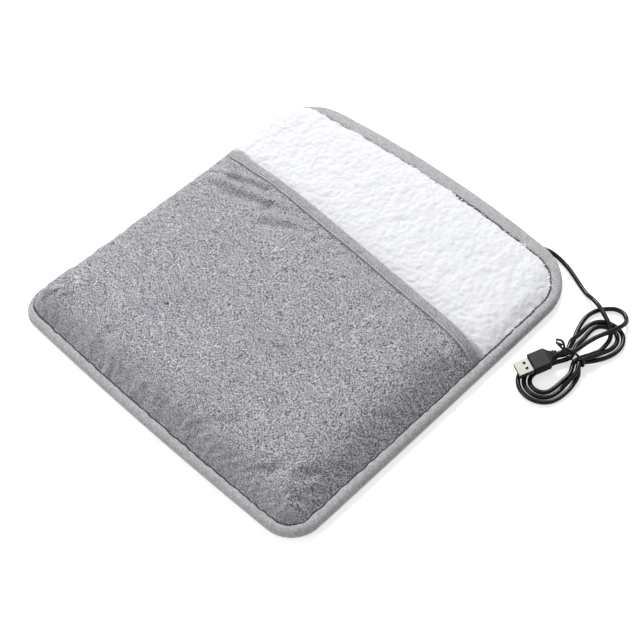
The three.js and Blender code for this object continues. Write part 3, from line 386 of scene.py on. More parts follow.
WEAR = [(9, 9, 9, 0.7, 3), (2.2, 2.2, 2.2, 0.3, 2)]
nap = speckle("nap", [(0.36, 1.45, 0.45, 1.0, 0), (7.0, 11.0, 7.0, 0.03, 1)])
brushing = speckle("brushing", [(40, 60, 40, 0.7, 2), (13, 22, 14, 0.6, 2)])
velour = speckle("velour", [(0.8, 0.8, 0.8, 0.7, 1), (2.4, 2.4, 2.4, 0.35, 2)])
tape_marks = speckle("tape marks", [(22, 22, 22, 0.6, 3), (5, 5, 5, 0.4, 2)])
wool = speckle("wool", [(1.5, 1.8, 1.5, 0.7, 3), (0.6, 0.7, 0.6, 0.35, 2)])
wool_marks = speckle("wool marks", [(30, 34, 30, 0.6, 2)])

plush = cloth_material(
    "plush", nap, brushing, (0.07, 0.07, 0.077), (0.85, 0.84, 0.872), 0.5, (0.8, 0.8, 0.87), 0.75, 0.3, 0.135)
tape = cloth_material(
    "tape", velour, tape_marks, (0.33, 0.33, 0.34), (0.7, 0.7, 0.712), 0.25, (0.82, 0.82, 0.84), 0.8, 0.25,
    0.17)
# A darker copy of the binding's tape for the mouth's tape, which is the same tape: its lower colour is
# painted shade.
shaded_tape = cloth_material(
    "shaded_tape", velour, tape_marks, (0.24, 0.24, 0.25), (0.62, 0.62, 0.64), 0.3, (0.82, 0.82, 0.84), 0.8,
    0.25, 0.15)
sherpa = cloth_material(
    "sherpa", wool, wool_marks, (0.83, 0.838, 0.866), (0.945, 0.953, 0.976), 0.45, (0.97, 0.97, 0.98), 0.6,
    0.1)
wadding = cloth_material(
    "wadding", wool, wool_marks, (0.66, 0.66, 0.62), (0.8, 0.8, 0.77), 0.5, (0.95, 0.95, 0.94), 0.5, 0.1)
felt = cloth_material(
    "felt", velour, tape_marks, (0.58, 0.58, 0.54), (0.72, 0.72, 0.68), 0.2, (0.94, 0.94, 0.92), 0.5, 0.05)
# Overlock thread beside the binding: its near-black colour is partly the thread's own and partly painted
# shadow of the seam's crevice.
seam_thread_and_shadow = cloth_material(
    "seam_thread_and_shadow", velour, tape_marks, (0.05, 0.05, 0.056), (0.13, 0.13, 0.14), 0.1, (0.9, 0.9, 0.9), 0.5)
stitch_thread = cloth_material(
    "stitch_thread", velour, tape_marks, (0.7, 0.7, 0.71), (0.86, 0.86, 0.87), 0.1, (0.95, 0.95, 0.95), 0.5,
    0.1)
# Near-black stitches laid in the mouth tape's groove: painted shade of its crease.
groove_shade = cloth_material(
    "groove_shade", velour, tape_marks, (0.16, 0.16, 0.17), (0.3, 0.3, 0.31), 0.1, (0.9, 0.9, 0.9), 0.5)
cord_skin = moulded_material(
    "cord_skin", (0.005, 0.005, 0.006), (0.012, 0.012, 0.014), 0.25, 0.8, 0.02, gloss=0.42)
plug_skin = moulded_material(
    "plug_skin", (0.007, 0.007, 0.009), (0.014, 0.014, 0.017), 0.38, 0.35, 0.03, gloss=0.22)
tie_skin = moulded_material("tie_skin", (0.008, 0.008, 0.009), (0.02, 0.02, 0.022), 0.28, 0.9, 0.02)
plated_steel = moulded_material(
    "plated_steel", (0.21, 0.203, 0.183), (0.30, 0.29, 0.265), 0.4, 0.5, 0.008, metallic=1.0)
brass = moulded_material("brass", (0.72, 0.52, 0.22), (0.84, 0.66, 0.34), 0.3, 0.4, 0.006, metallic=1.0)
tongue_white = moulded_material("tongue_white", (0.74, 0.73, 0.70), (0.82, 0.81, 0.78), 0.45, 0.6, 0.01)
insulator = moulded_material("insulator", (0.50, 0.44, 0.33), (0.62, 0.56, 0.45), 0.55, 0.5, 0.02)
red_sleeving = moulded_material("red_sleeving", (0.38, 0.02, 0.015), (0.50, 0.05, 0.035), 0.4, 0.5, 0.01)
black_sleeving = moulded_material(
    "black_sleeving", (0.014, 0.014, 0.015), (0.03, 0.03, 0.032), 0.4, 0.5, 0.01)
wire_sleeving = moulded_material("wire_sleeving", (0.22, 0.10, 0.05), (0.32, 0.17, 0.09), 0.5, 0.5, 0.02)


# Camera.


CAMERA_PLACE = (0.502553, -0.42793, 0.84083)
CAMERA_RIGHT, CAMERA_BACK = (0.7113, 0.7009, -0.0525), (0.4513, -0.3983, 0.7986)
SENSOR_WIDTH, LENS = 36, 76.9


def place_camera():
    """The camera at the photograph's place."""
    data = bpy.data.cameras.new("camera")
    data.sensor_width, data.lens = SENSOR_WIDTH, LENS
    data.clip_start, data.clip_end = 0.05, 20
    camera = new_object("camera", data)
    right, back = Vector(CAMERA_RIGHT), Vector(CAMERA_BACK).normalized()
    right = (right - back * right.dot(back)).normalized()
    up = back.cross(right)
    turn = Matrix((right, up, back)).transposed()
    camera.matrix_world = Matrix.Translation(CAMERA_PLACE) @ turn.to_4x4()
    bpy.context.scene.camera = camera


place_camera()


# Lead and hank.

LEAD_ROUTE = [
    (111.9, 163.1, 4.2), (118, 164.9, 3.4), (125.6, 165.2, 2.2), (132, 164.1, 1.8), (139, 162, 1.8),
    (148, 158.2, 1.8), (158, 153.8, 1.8), (165.5, 150.8, 2.6), (171.5, 148.6, 5), (177, 146.6, 6.3),
    (183, 144.2, 6.4), (188.5, 141.3, 6.4), (194.5, 138, 6.2), (199.8, 134, 5.2), (204, 127.5, 3.6),
]
FAR_ROUTE = [
    (184.4, 109, 1.8), (180.6, 119, 1.8), (178.2, 128, 1.8), (177.6, 136.5, 1.8), (179.8, 143.9, 1.8),
    (184.0, 150.0, 1.8), (190, 154.8, 1.8), (196.6, 155.2, 2), (201.8, 151.4, 2.9), (204.2, 146, 5.6),
    (204.4, 140, 7.8), (203.4, 134.5, 8.8), (201.2, 128, 9.4), (197.6, 118.5, 9.5), (195.4, 108.5, 9.7),
    (194.2, 100, 10.1), (192.9, 95, 10.5), (190.4, 91.2, 11.5),
]
HANK_X, HANK_Y = 194.8, 95.4
STRAND_PITCH = 4.3
WAIST_HALF, WAIST_LIFT = 6.6, 1.4
# Of each lobe: its length, spread, sideways shift, the shift's run, the waist's run and the spread's power.
LOWER_LOBE = (48.0, 24.0, -4.0, 34.0, 30.0, 0.8)
UPPER_LOBE = (48.3, 24.0, 2.0, 24.0, 30.0, 0.9)
LOOPS, LOOP_STEPS = 3, 32
PLUG_TIP = Vector((173.1, 56.5, 7.8))
PLUG_PLACE = (Matrix.Translation(PLUG_TIP) @ Matrix.Rotation(math.radians(-25.5), 4, "Z")
              @ Matrix.Rotation(math.radians(8.3), 4, "X"))
PLUG_NECK = 33.0


def hank_point(turn, order):
    """A point of the hank at an angle of its turn. order 0 is the outer loop."""
    lobe = UPPER_LOBE if math.sin(turn) < 0 else LOWER_LOBE
    length, spread, shift, shift_run, waist_run, power = lobe

    def along(angle):
        return -length * math.sin(angle)

    def across(angle):
        return math.cos(angle) * (WAIST_HALF + spread * abs(math.sin(angle)) ** power)

    step = 1 / 1024
    run = (across(turn + step) - across(turn - step), along(turn + step) - along(turn - step))
    size = math.hypot(*run)
    distance = abs(along(turn))
    closeness = float(ease(1 - distance / waist_run))
    quarter = math.pi / 2 * closeness
    insets = (0, STRAND_PITCH * math.cos(quarter), STRAND_PITCH * (2 - closeness**2))
    climbs = (0, STRAND_PITCH * math.sin(quarter), 0)
    low = min(1, math.floor(order))
    inset = mix(insets[low], insets[low + 1], order - low)
    climb = mix(climbs[low], climbs[low + 1], order - low)
    x = HANK_X + shift * float(ease(distance / shift_run)) + across(turn) + run[1] / size * inset
    y = HANK_Y + along(turn) - run[0] / size * inset
    return x, y, CORD_LEVEL + WAIST_LIFT * closeness + climb


def on_plug(across, along, up):
    """A point given across the plug, along it from its tip, and up from its middle."""
    return tuple(PLUG_PLACE @ Vector((across, along, up)))


def lead_and_hank():
    """Points from the pad's edge through the hank to the plug's neck, in the pad's frame."""
    loops = []
    for i in range(-1, int((LOOPS - 0.5) * LOOP_STEPS) + 1):
        place = i / LOOP_STEPS
        loop = math.floor(place)
        shift = float(ease((place - loop - 0.62) / 0.30))
        loops.append(hank_point(2 * math.pi * place, LOOPS - 1 - loop - shift))
    start = np.array(loops[0])
    away = start - np.array(loops[1])
    away /= np.linalg.norm(away)
    onward = start + away * CORD_DIAMETER
    lead = spline([*LEAD_ROUTE, onward + away * (CORD_DIAMETER + 0.3), onward + away * 0.3], 40)
    far = spline([loops[-1], *FAR_ROUTE, on_plug(0, PLUG_NECK + CORD_DIAMETER, 0)], 2 * LOOP_STEPS)
    return np.vstack([lead, [onward], loops, far[1:], [on_plug(0, PLUG_NECK - 0.1, 0)]])


def cord_piece(name, points, diameter, material):
    """A round cord along points in metres."""
    data = bpy.data.curves.new(name, "CURVE")
    data.dimensions = "3D"
    data.bevel_depth = diameter / 2
    data.bevel_resolution = 5
    data.resolution_u = 4
    data.use_fill_caps = True
    line = data.splines.new("POLY")
    line.points.add(len(points) - 1)
    for point, place in zip(line.points, points):
        point.co = (*place, 1)
    data.materials.append(material)
    return new_object(name, data)


# The tie in millimetres about the hank's waist: its free ends, and its way round, as x and z.
TIE_START = [(-11.8, 1.9, 8.2), (-14.0, 1.4, 7.9), (-15.6, 0.4, 8.9), (-15.3, -0.9, 10.6),
             (-13.2, -1.5, 11.0), (-10.9, -1.3, 9.7)]
TIE_RING = [(-9.3, 9.0), (-7.0, 10.6), (-4.4, 12.2), (-1.9, 12.9), (0.8, 12.6), (3.6, 11.6), (7.2, 10.4),
            (9.2, 8.7), (9.5, 5.4), (9.2, 2.5), (6.6, 0.75), (0.0, 0.65), (-6.6, 0.75), (-9.2, 2.5),
            (-9.5, 5.6)]
TIE_END = [(-9.9, 1.6, 8.4), (-11.2, 2.2, 10.2), (-13.2, 2.6, 11.3), (-15.4, 2.0, 11.3), (-17.2, 0.9, 10.4)]
TIE_SLANT = 2.4


def tie_wire():
    """A coated wire bent round the waist of the hank, with both ends curled at its left. It is pressed thin
    where it passes under the hank."""
    ring = []
    for index, (x, z) in enumerate(TIE_RING):
        y = -TIE_SLANT / 2 + TIE_SLANT * index / (len(TIE_RING) - 1)
        ring.append((x, y, z + 0.25 * max(0.0, -y) * (z > 10)))
    places = spline([(HANK_X + x, HANK_Y + y, z) for x, y, z in (*TIE_START, *ring, *TIE_END)], 300)
    piece = cord_piece("tie_wire", to_model(places), TIE_DIAMETER * MM, tie_skin)
    for point, place in zip(piece.data.splines[0].points, places):
        point.radius = float(mix(0.65, 1.0, ease((place[2] - 0.7) / 2.5)))
    return finish_piece(piece, ["twist_tie"])


def rounded_box(width, height, corner, steps=5):
    """A rectangle with round corners, as points about its middle."""
    points = []
    for side_x, side_z, start in ((1, 1, 0), (-1, 1, 90), (-1, -1, 180), (1, -1, 270)):
        for step in range(steps + 1):
            angle = math.radians(start + 90 * step / steps)
            points.append((side_x * (width / 2 - corner) + corner * math.cos(angle),
                           side_z * (height / 2 - corner) + corner * math.sin(angle)))
    return points


# Sections of the plug's grip in millimetres: distance from the tip, width, height and corner radius.
GRIP_SECTIONS = [
    (11.5, 14.4, 7.0, 1.0), (11.75, 15.1, 7.7, 1.1), (12.3, 15.4, 8.0, 1.0), (23.6, 15.4, 8.0, 1.0),
    (24.3, 15.1, 7.9, 1.1), (26.9, 9.8, 6.8, 1.4), (27.5, 8.7, 6.3, 1.6), (28.7, 8.4, 6.2, 1.7),
    (28.85, 7.0, 5.3, 1.7), (29.5, 6.9, 5.3, 1.7), (29.65, 7.9, 6.0, 1.9), (30.7, 7.5, 5.9, 2.0),
    (30.85, 6.2, 5.1, 1.9), (31.4, 6.1, 5.1, 1.9), (31.55, 6.9, 5.7, 2.2), (32.5, 6.1, 5.5, 2.3),
    (32.7, 5.3, 4.9, 2.2),
]


def plug_grip():
    """The moulded grip: a body with softened edges, slanting shoulders and a neck with two grooves."""
    rings = [[on_plug(x, along, z) for x, z in rounded_box(width, height, corner)]
             for along, width, height, corner in GRIP_SECTIONS]
    piece = new_piece("plug_grip", skin_mesh(to_model(np.array(rings))), plug_skin)
    shading = piece.modifiers.new("shading", "WEIGHTED_NORMAL")
    shading.keep_sharp = True
    return finish_piece(piece, ["usb_grip"])


tie_piece = tie_wire()
grip_piece = plug_grip()
route = lead_and_hank()
step_lengths = np.linalg.norm(np.diff(route, axis=0), axis=1)
dense_route = spline(route[np.r_[True, step_lengths > 0.5]], 620)
cord_metres = to_model(dense_route)
lead_cord = finish_piece(cord_piece("lead_cord", cord_metres, CORD_DIAMETER * MM, cord_skin),
                         ["usb_lead", "usb_hank"])


# Cloths.


def sherpa_relief(x, y, strength):
    """Height of the curls over the sherpa's ground, with its sideways lean, in millimetres."""
    bend_x = 2.4 * soft_noise(x / 7, y / 7, 11)
    bend_y = 2.4 * soft_noise(x / 7, y / 7, 12)
    lumps = 0.8 * soft_noise(x / 13, y / 11, 1) + 0.55 * soft_noise(x / 6, y / 5.5, 2)
    curls = 0.55 - curl_cells((x + bend_x) / 4.6, (y + bend_y) / 4.0, 3)
    wisps = 0.5 - curl_cells((x + bend_y) / 2.1, (y - bend_x) / 1.9, 4)
    height = lumps + 1.3 * curls + 0.55 * wisps
    lean_x = 0.6 * soft_noise(x / 3.1, y / 3.1, 5)
    lean_y = 0.6 * soft_noise(x / 3.1, y / 3.1, 6)
    return strength * height, strength * lean_x, strength * lean_y


def stepped(*spans):
    """Row places from spans of (start, end, spacing)."""
    rows = []
    for start, end, spacing in spans:
        count = max(1, round(abs(end - start) / spacing))
        rows.extend(np.linspace(start, end, count, endpoint=False))
    rows.append(spans[-1][1])
    return np.array(rows)


def columns_for(fine):
    """Column places as shares across, a fine step apart."""
    return np.linspace(0, 1, int(CLOTH_WIDTH / fine))


def left_end(x, y, reach):
    """1 at the mouth's left end, less along the mouth and less within a reach to either side of it."""
    return clamp((-56 - x) / 92) ** 1.5 * np.exp(-(((mouth_line(x) - y) / reach) ** 2))


def sherpa_ground(x, y):
    """Level of the sherpa's ground over the plan, and how far it lies open beyond the mouth, from 0 to 1."""
    inside, nx, ny = edge_of(x, y)
    left = clamp(-nx)
    distance = inside - top_cover(nx, ny) * (1 - left) - 0.4 * left
    is_open = clamp((y - mouth_line(x)) / 4)
    low = mix(4.4, 7.6 - 2.0 * left, is_open)
    high = mix(13.0, SHERPA_TOP - 0.4, is_open)
    steep = rise(distance, 26 - 6 * left, 2.6)
    pressed = 3.4 * left_end(x, y, 26) * ease((x + 153) / 18)
    return mix(low, high, mix(rise(distance, 32, 1.6), steep, is_open)) - pressed, is_open


def sherpa_cloth():
    """The sherpa over the whole pad, with curls where it shows and a plain ground under the pocket."""
    fine = 0.95
    rows = stepped((-HALF_DEPTH + CLOTH_INSET, 30, 7), (30, HALF_DEPTH - CLOTH_INSET, fine))
    x, y = plan_grid(CLOTH_INSET, columns_for(fine), rows)
    ground, is_open = sherpa_ground(x, y)
    height, lean_x, lean_y = sherpa_relief(x, y, OPEN_CURLS)
    distance = seam_distance(x, y)
    shown = is_open * clamp((distance + 9) / 4)
    plan_x, plan_y = sewn(x + shown * lean_x, y + shown * lean_y)
    bm = grid_mesh(lifted(plan_x, plan_y, ground + shown * height))
    return finish_piece(new_piece("sherpa_cloth", bm, sherpa), ["sherpa_lining"])


def steepness(x, y):
    """1 along the left side, where the pocket bulges, down to 0 along its near and right sides."""
    from_left = x + HALF_WIDTH - COVER_LEFT
    from_other = np.minimum(HALF_WIDTH - COVER_RIGHT - x, y + HALF_DEPTH - COVER_NEAR)
    return ease(0.5 + (from_other - from_left) / 70)


def pocket_rise(x, y):
    """How far the pocket's cloths have risen from their seams, from 0 to 1."""
    distance = seam_distance(x, y) - 1.0
    return mix(rise(distance, 36, 2.3), rise(distance, 24, 3), steepness(x, y))


def lining_underside(x, y):
    """Level of the lining's underside, before the mouth sinks."""
    return mix(PINCHED, LINING_UNDERSIDE, pocket_rise(x, y))


def mouth_sag(x, y):
    """Share by which the mouth's left end sinks onto the sherpa."""
    return ease((x + HALF_WIDTH - COVER_LEFT) / 16) * left_end(x, y, 34)


def front_level(x, y):
    """Top of the pocket's front over the plan, crowned towards the middle and pinched at its seams."""
    distance = seam_distance(x, y) - 1.0
    fast = mix(rise(distance, 30, 2.2), rise(distance, 18, 3), steepness(x, y))
    from_side = HALF_WIDTH - np.abs(x) - COVER_RIGHT
    from_end = HALF_DEPTH - np.abs(y) - COVER_NEAR
    slow = rise(from_side, 120, 2) * rise(from_end, 120, 2)
    mouth = ease(1 + (y - mouth_line(x) + MOUTH_TAPE) / 25) * fast
    stack = mix(mix(2.4, 8.4, mix(fast, slow, 0.65)), 3.05, mouth)
    puff = 2.4 * np.exp(-((np.hypot(x + 130, y + 132) / 20) ** 2)) * clamp(distance / 6)
    return lining_underside(x, y) + stack + puff - SAG * mouth_sag(x, y)


# Folds of the front: start, end, width, height and bow. Three run out of the mouth's left end, and two small
# ones lie by the near right corner.
FOLDS = [
    ((-138.0, 37.0), (-70.0, 57.0), 3.4, 3.0, 0.0), ((-142.0, 25.5), (-38.0, 53.0), 4.2, 3.0, -5.5),
    ((-72.0, 17.0), (-16.0, 49.0), 4.6, 2.2, 0.0), ((118, -128), (128, -98), 4.0, 1.0, 0.0),
    ((100, -134), (108, -112), 3.6, 0.9, 0.0),
]


def wrinkle(x, y, start, end, width, height, bow):
    """A fold that runs from start to end, bowed to its left, and fades at its tips."""
    start, end = np.array(start, float), np.array(end, float)
    run = end - start
    length = np.hypot(*run)
    along = ((x - start[0]) * run[0] + (y - start[1]) * run[1]) / length**2
    away = ((x - start[0]) * -run[1] + (y - start[1]) * run[0]) / length
    bend = away - bow * np.sin(np.pi * clamp(along)) - 1.0 * soft_noise(x / 16, y / 16, 21)
    fade = ease(along * 3) * ease((1 - along) * 2.2)
    ridge = np.exp(-((bend / width) ** 2))
    return height * fade * (ridge - 0.75 * np.exp(-(((bend + 1.5 * width) / width) ** 2)))


def front_relief(x, y):
    """Folds near the mouth's left end, puckers along the seams and a soft unevenness."""
    folds = sum(wrinkle(x, y, *fold) for fold in FOLDS)
    soft = 0.9 * soft_noise(x / 42, y / 38, 31) + 0.45 * soft_noise(x / 17, y / 15, 32)
    distance = np.clip(seam_distance(x, y), 0, None)
    along = np.where(np.abs(y) / HALF_DEPTH > np.abs(x) / HALF_WIDTH, x, y)
    pull = 2.2 * clamp((80 - x) / 120) * clamp((-100 - y) / 30) + 0.6
    pucker = pull * np.exp(-distance / 8) * soft_noise(along / 6.5, distance / 30 + 3.3, 33)
    return folds + soft * clamp(distance / 30) + pucker * clamp(distance / 1.5)


def resampled(values, from_rows, from_columns, rows, columns):
    """Values on a fine grid of rows and columns, read evenly between those of a coarse one."""
    across = np.stack([np.interp(columns, from_columns, line) for line in values])
    return np.stack([np.interp(rows, from_rows, line) for line in across.T]).T


CLOTH_SETTINGS = {
    "quality": 5, "mass": 0.15, "tension_stiffness": 12, "compression_stiffness": 5, "shear_stiffness": 3,
    "bending_stiffness": 0.04, "shrink_min": -0.05, "use_pressure": True, "uniform_pressure_force": 1.2,
    "vertex_group_mass": "held", "pin_stiffness": 1.0,
}
SETTLE_MOMENTS = 20


def settled_front():
    """Lets the front's cloth, cut a little large, settle between its seams. Returns how its points moved."""
    rows = stepped((-HALF_DEPTH + CLOTH_INSET, MOUTH_PLACE - MOUTH_INSET, SETTLE_STEP))
    columns = columns_for(SETTLE_STEP)
    x, y = plan_grid(CLOTH_INSET, columns, rows)
    start = np.stack([x, y, front_level(x, y)], axis=-1)
    cloth = new_piece("front_blank", grid_mesh(start * MM), plush)
    distance = np.minimum(seam_distance(x, y), mouth_line(x) - MOUTH_TAPE - y).ravel()
    held = cloth.vertex_groups.new(name="held")
    for index, share in enumerate(clamp(1 - (distance - 2) / 12) ** 2 * 0.95 + 0.05):
        held.add([index], float(share), "REPLACE")
    cloth.modifiers.new("settling", "CLOTH")
    settings = cloth.modifiers["settling"].settings
    for key, value in CLOTH_SETTINGS.items():
        setattr(settings, key, value)
    settings.effector_weights.gravity = 0
    for moment in range(1, SETTLE_MOMENTS + 1):
        bpy.context.scene.frame_set(moment)
    eased = cloth.evaluated_get(bpy.context.evaluated_depsgraph_get()).to_mesh()
    after = np.empty(3 * start.shape[0] * start.shape[1])
    eased.vertices.foreach_get("co", after)
    moves = after.reshape(start.shape) / MM - start
    bpy.data.objects.remove(cloth)
    bpy.context.scene.frame_set(1)
    size = np.linalg.norm(moves, axis=-1, keepdims=True)
    moves *= np.minimum(1, MOST_MOVE / np.maximum(size, 1e-6))
    return rows, columns, np.moveaxis(moves, -1, 0)


def off_seams(x, y):
    """Share of the front's relief over the plan: less beside its seams."""
    return clamp(seam_distance(x, y) / 3 + 0.3)


def pocket_plan(inset, fine):
    """A grid over the pocket: places before sewing, places as sewn, and the front's levels without pile."""
    rows = stepped((-HALF_DEPTH + inset, MOUTH_PLACE - MOUTH_INSET, fine))
    columns = columns_for(fine)
    x, y = plan_grid(inset, columns, rows)
    settled_rows, settled_columns, settled_moves = SETTLED
    moves = [resampled(part, settled_rows, settled_columns, rows, columns) for part in settled_moves]
    level = front_level(x, y) + off_seams(x, y) * front_relief(x, y) + moves[2]
    plan_x, plan_y = sewn(x + moves[0], y + moves[1] - BEND * mouth_sag(x, y))
    return x, y, plan_x, plan_y, level


def pocket_cloth():
    """The pocket's front with its folds and its pile."""
    x, y, plan_x, plan_y, level = pocket_plan(CLOTH_INSET, 1.15)
    pile = 0.05 * soft_noise(x / 2.6, y / 4.2, 41) + 0.12 * soft_noise(x / 5.5, y / 8.0, 42)
    bm = grid_mesh(lifted(plan_x, plan_y, level + off_seams(x, y) * pile))
    piece = new_piece("pocket_cloth", bm, plush)
    thicken(piece, PLUSH_THICKNESS, -1)
    return finish_piece(piece, ["pocket_front"])


def lowest_around(level):
    """Each value lowered to the least of its neighbours'."""
    padded = np.pad(level, 1, mode="edge")
    rows, columns = level.shape
    return np.min([padded[i : i + rows, j : j + columns] for i in range(3) for j in range(3)], axis=0)


def lining_level(x, y, front):
    """Middle of the lining: full and curled, but always under the plush."""
    distance = seam_distance(x, y) - 1.8
    height = sherpa_relief(x, y, LINING_CURLS)[0]
    full = mix(PINCHED, LINING_UNDERSIDE + LINING_THICKNESS / 2, pocket_rise(x, y))
    free = full - clamp(distance / 10) * (0.4 + 0.4 * height)
    room = lowest_around(front) - PLUSH_THICKNESS - LINING_THICKNESS / 2 - 0.25
    return np.minimum(free - SAG * mouth_sag(x, y), room)


def lining_cloth():
    """The pocket's lining."""
    x, y, plan_x, plan_y, front = pocket_plan(3.2, 2.6)
    piece = new_piece("lining_cloth", grid_mesh(lifted(plan_x, plan_y, lining_level(x, y, front))), sherpa)
    thicken(piece, LINING_THICKNESS, 0)
    return finish_piece(piece, ["pocket_lining"])


def pocket_fill():
    """The wadding between lining and front."""
    x, y, plan_x, plan_y, front = pocket_plan(FILL_INSET, 2.6)
    bottom = lining_level(x, y, front) + LINING_THICKNESS / 2 + 0.1
    top = lowest_around(front) - PLUSH_THICKNESS - 0.35 - 0.25 * (1 + soft_noise(x / 11, y / 11, 71))
    bottom = np.minimum(bottom, top - 0.1)
    bm = slab_mesh(lifted(plan_x, plan_y, top), lifted(plan_x, plan_y, bottom))
    return finish_piece(new_piece("pocket_fill", bm, wadding), ["pocket_wadding"])


def back_cloth():
    """The cloth under the pad, nearly flat and drawn up at its seams."""
    fine = 2.6
    rows = stepped((-HALF_DEPTH + CLOTH_INSET, HALF_DEPTH - CLOTH_INSET, fine))
    x, y = plan_grid(CLOTH_INSET, columns_for(fine), rows)
    inside, nx, ny = edge_of(x, y)
    distance = inside - bottom_cover(nx, ny) - 1.8
    plan_x, plan_y = sewn(x, y)
    low = 1.6 * (1 - rise(distance, 16, 2)) + 0.12
    level = low + 0.18 * (1 + soft_noise(x / 22, y / 22, 51)) + 0.1 * (1 + soft_noise(x / 5, y / 8, 52))
    piece = new_piece("back_cloth", grid_mesh(lifted(plan_x, plan_y, level)), plush)
    thicken(piece, BACK_THICKNESS, 1)
    return finish_piece(piece, ["back_cover"])


# Bindings and seams.


def outline_stations(spacing):
    """Points round the pad's outline with the outward direction at each."""
    near, far, w, d = NEAR_RADIUS, FAR_RADIUS, HALF_WIDTH, HALF_DEPTH
    # Each side's ends and outward direction, then the quarter of the plan and radius of the corner after it.
    sides = [((-w + near, -d), (w - near, -d), (0, -1), (1, -1), near),
             ((w, -d + near), (w, d - far), (1, 0), (1, 1), far),
             ((w - far, d), (-w + far, d), (0, 1), (-1, 1), far),
             ((-w, d - far), (-w, -d + near), (-1, 0), (-1, -1), near)]
    stations = []
    for start, end, outward, (side_x, side_y), radius in sides:
        count = max(2, round(math.dist(start, end) / spacing))
        for i in range(count):
            stations.append((*(mix(a, b, i / count) for a, b in zip(start, end)), *outward))
        count = max(4, round(radius * math.pi / 2 / spacing))
        x, y = side_x * (w - radius), side_y * (d - radius)
        for i in range(count):
            angle = math.atan2(outward[1], outward[0]) + math.pi / 2 * i / count
            nx, ny = math.cos(angle), math.sin(angle)
            stations.append((x + radius * nx, y + radius * ny, nx, ny))
    return np.array(stations)


def smooth_section(points, steps):
    """A closed smooth outline through the given points."""
    points = np.asarray(points, float)
    closed = np.c_[np.vstack([points[-2:], points, points[:3]]), np.zeros(len(points) + 5)]
    dense = spline(closed, 400)[:, :2]
    start = np.argmin(np.linalg.norm(dense - points[0], axis=1)[:200])
    end = len(dense) - 1 - np.argmin(np.linalg.norm(dense - points[0], axis=1)[::-1][:200])
    part = dense[start : end + 1]
    length = np.r_[0, np.cumsum(np.linalg.norm(np.diff(part, axis=0), axis=1))]
    wanted = np.linspace(0, length[-1], steps, endpoint=False)
    return np.stack([np.interp(wanted, length, part[:, axis]) for axis in (0, 1)], axis=1)


def raggedness(x, y):
    """How far the binding's inner edge wanders, in millimetres."""
    return 0.75 * soft_noise(x / 7.5, y / 7.5, 62) + 0.5 * soft_noise(x / 2.9, y / 2.9, 66)


def edge_tape():
    """The binding: a soft folded tape whose outer edge is a roll."""
    stations = outline_stations(2.2)
    swells = 0.3 * line_noise(np.arange(len(stations)) / len(stations) * 90.0, 2.2, 61)
    wanders = raggedness(stations[:, 0], stations[:, 1])
    rings = []
    for (x, y, nx, ny), swell, ragged in zip(stations, swells, wanders):
        top, bottom = top_cover(nx, ny), bottom_cover(nx, ny)
        high = BINDING_HEIGHT + 0.35 + swell - 1.6 * clamp(-nx)
        mid = high / 2
        section = [
            (top + ragged, high - 1.2), (top - 0.9 + ragged, high - 0.35), (top * 0.6, high),
            (3.2, high - 0.25), (1.4, high - 1.3), (0.35, high - 2.8), (-0.05, mid), (0.3, 2.6), (1.3, 1.1),
            (3.0, 0.25), (5.0, 0.05), (bottom - 1, 0.05), (bottom, 0.5), (bottom - 0.2, 1.15), (4.2, 1.3),
            (2.2, 2.0), (1.5, mid), (2.2, high - 2.1), (3.6, high - 1.55)]
        profile = smooth_section(section, 36)
        around_x, around_y = sewn(x - nx * profile[:, 0], y - ny * profile[:, 0])
        rings.append(np.stack([around_x, around_y, profile[:, 1]], axis=1))
    bm = skin_mesh(to_model(np.array(rings)), is_loop=True)
    return finish_piece(new_piece("edge_tape", bm, tape), ["edge_binding"])


def mouth_levels(x):
    """Levels of the plush behind the tape and at the mouth, of the lining under it, and the folds' height."""
    y = mouth_line(x)
    back = front_level(x, y - MOUTH_TAPE)
    front = front_level(x, y - MOUTH_INSET)
    under = lining_underside(x, y - MOUTH_INSET) - SAG * mouth_sag(x, y - MOUTH_INSET)
    return back, front, under, front_relief(x, y - MOUTH_TAPE)


def tape_fullness(x):
    """Share of the mouth tape's height: less at its ends, where it runs under the binding."""
    return 0.35 + 0.65 * ease(np.minimum(x - TAPE_LEFT, TAPE_RIGHT - x) / TAPE_RUN)


def mouth_tape():
    """The folded tape over the pocket's free edge: a turned-in edge, a stitched groove and a rolled nose."""
    xs = np.linspace(TAPE_LEFT, TAPE_RIGHT, 170)
    ys = mouth_line(xs)
    swells = 0.22 * line_noise(xs / 7.0, 1.2, 63)
    rings = []
    for x, y, sag, swell, high, back, front, under, relief in zip(
            xs, ys, mouth_sag(xs, ys), swells, tape_fullness(xs), *mouth_levels(xs)):
        fold = back + relief
        section = [
            (-MOUTH_TAPE - 0.5, fold + 0.1), (-MOUTH_TAPE - 0.2, fold + 1.3 * high),
            (-8.2, fold + 1.75 * high), (-7.2, fold + 1.05 * high),
            (-6.2, mix(back, front, 0.3) + 0.9 * relief + 1.45 * high + swell),
            (-3, mix(back, front, 0.7) + 0.5 * relief + 1.3 * high + swell),
            (-1.0, front + 0.6 * high + swell), (0.1, front - 0.9), (0.35, (front + under) / 2),
            (0.1, under + 0.5), (-1.2, under - 0.9), (-4, under - 1.2), (-MOUTH_TAPE + 0.3, under - 1.1),
            (-MOUTH_TAPE - 0.1, under - 0.4), (-4, under - 0.2), (-1.6, under + 0.3),
            (-1.2, (front + under) / 2), (-1.6, front - 0.3), (-4.5, mix(back, front, 0.6) + 0.5 * relief)]
        profile = smooth_section(section, 44)
        around_x, around_y = sewn(np.full(len(profile), x), y + profile[:, 0] - BEND * sag)
        rings.append(np.stack([around_x, around_y, profile[:, 1]], axis=1))
    bm = skin_mesh(to_model(np.array(rings)))
    return finish_piece(new_piece("mouth_tape", bm, shaded_tape), ["mouth_binding"])


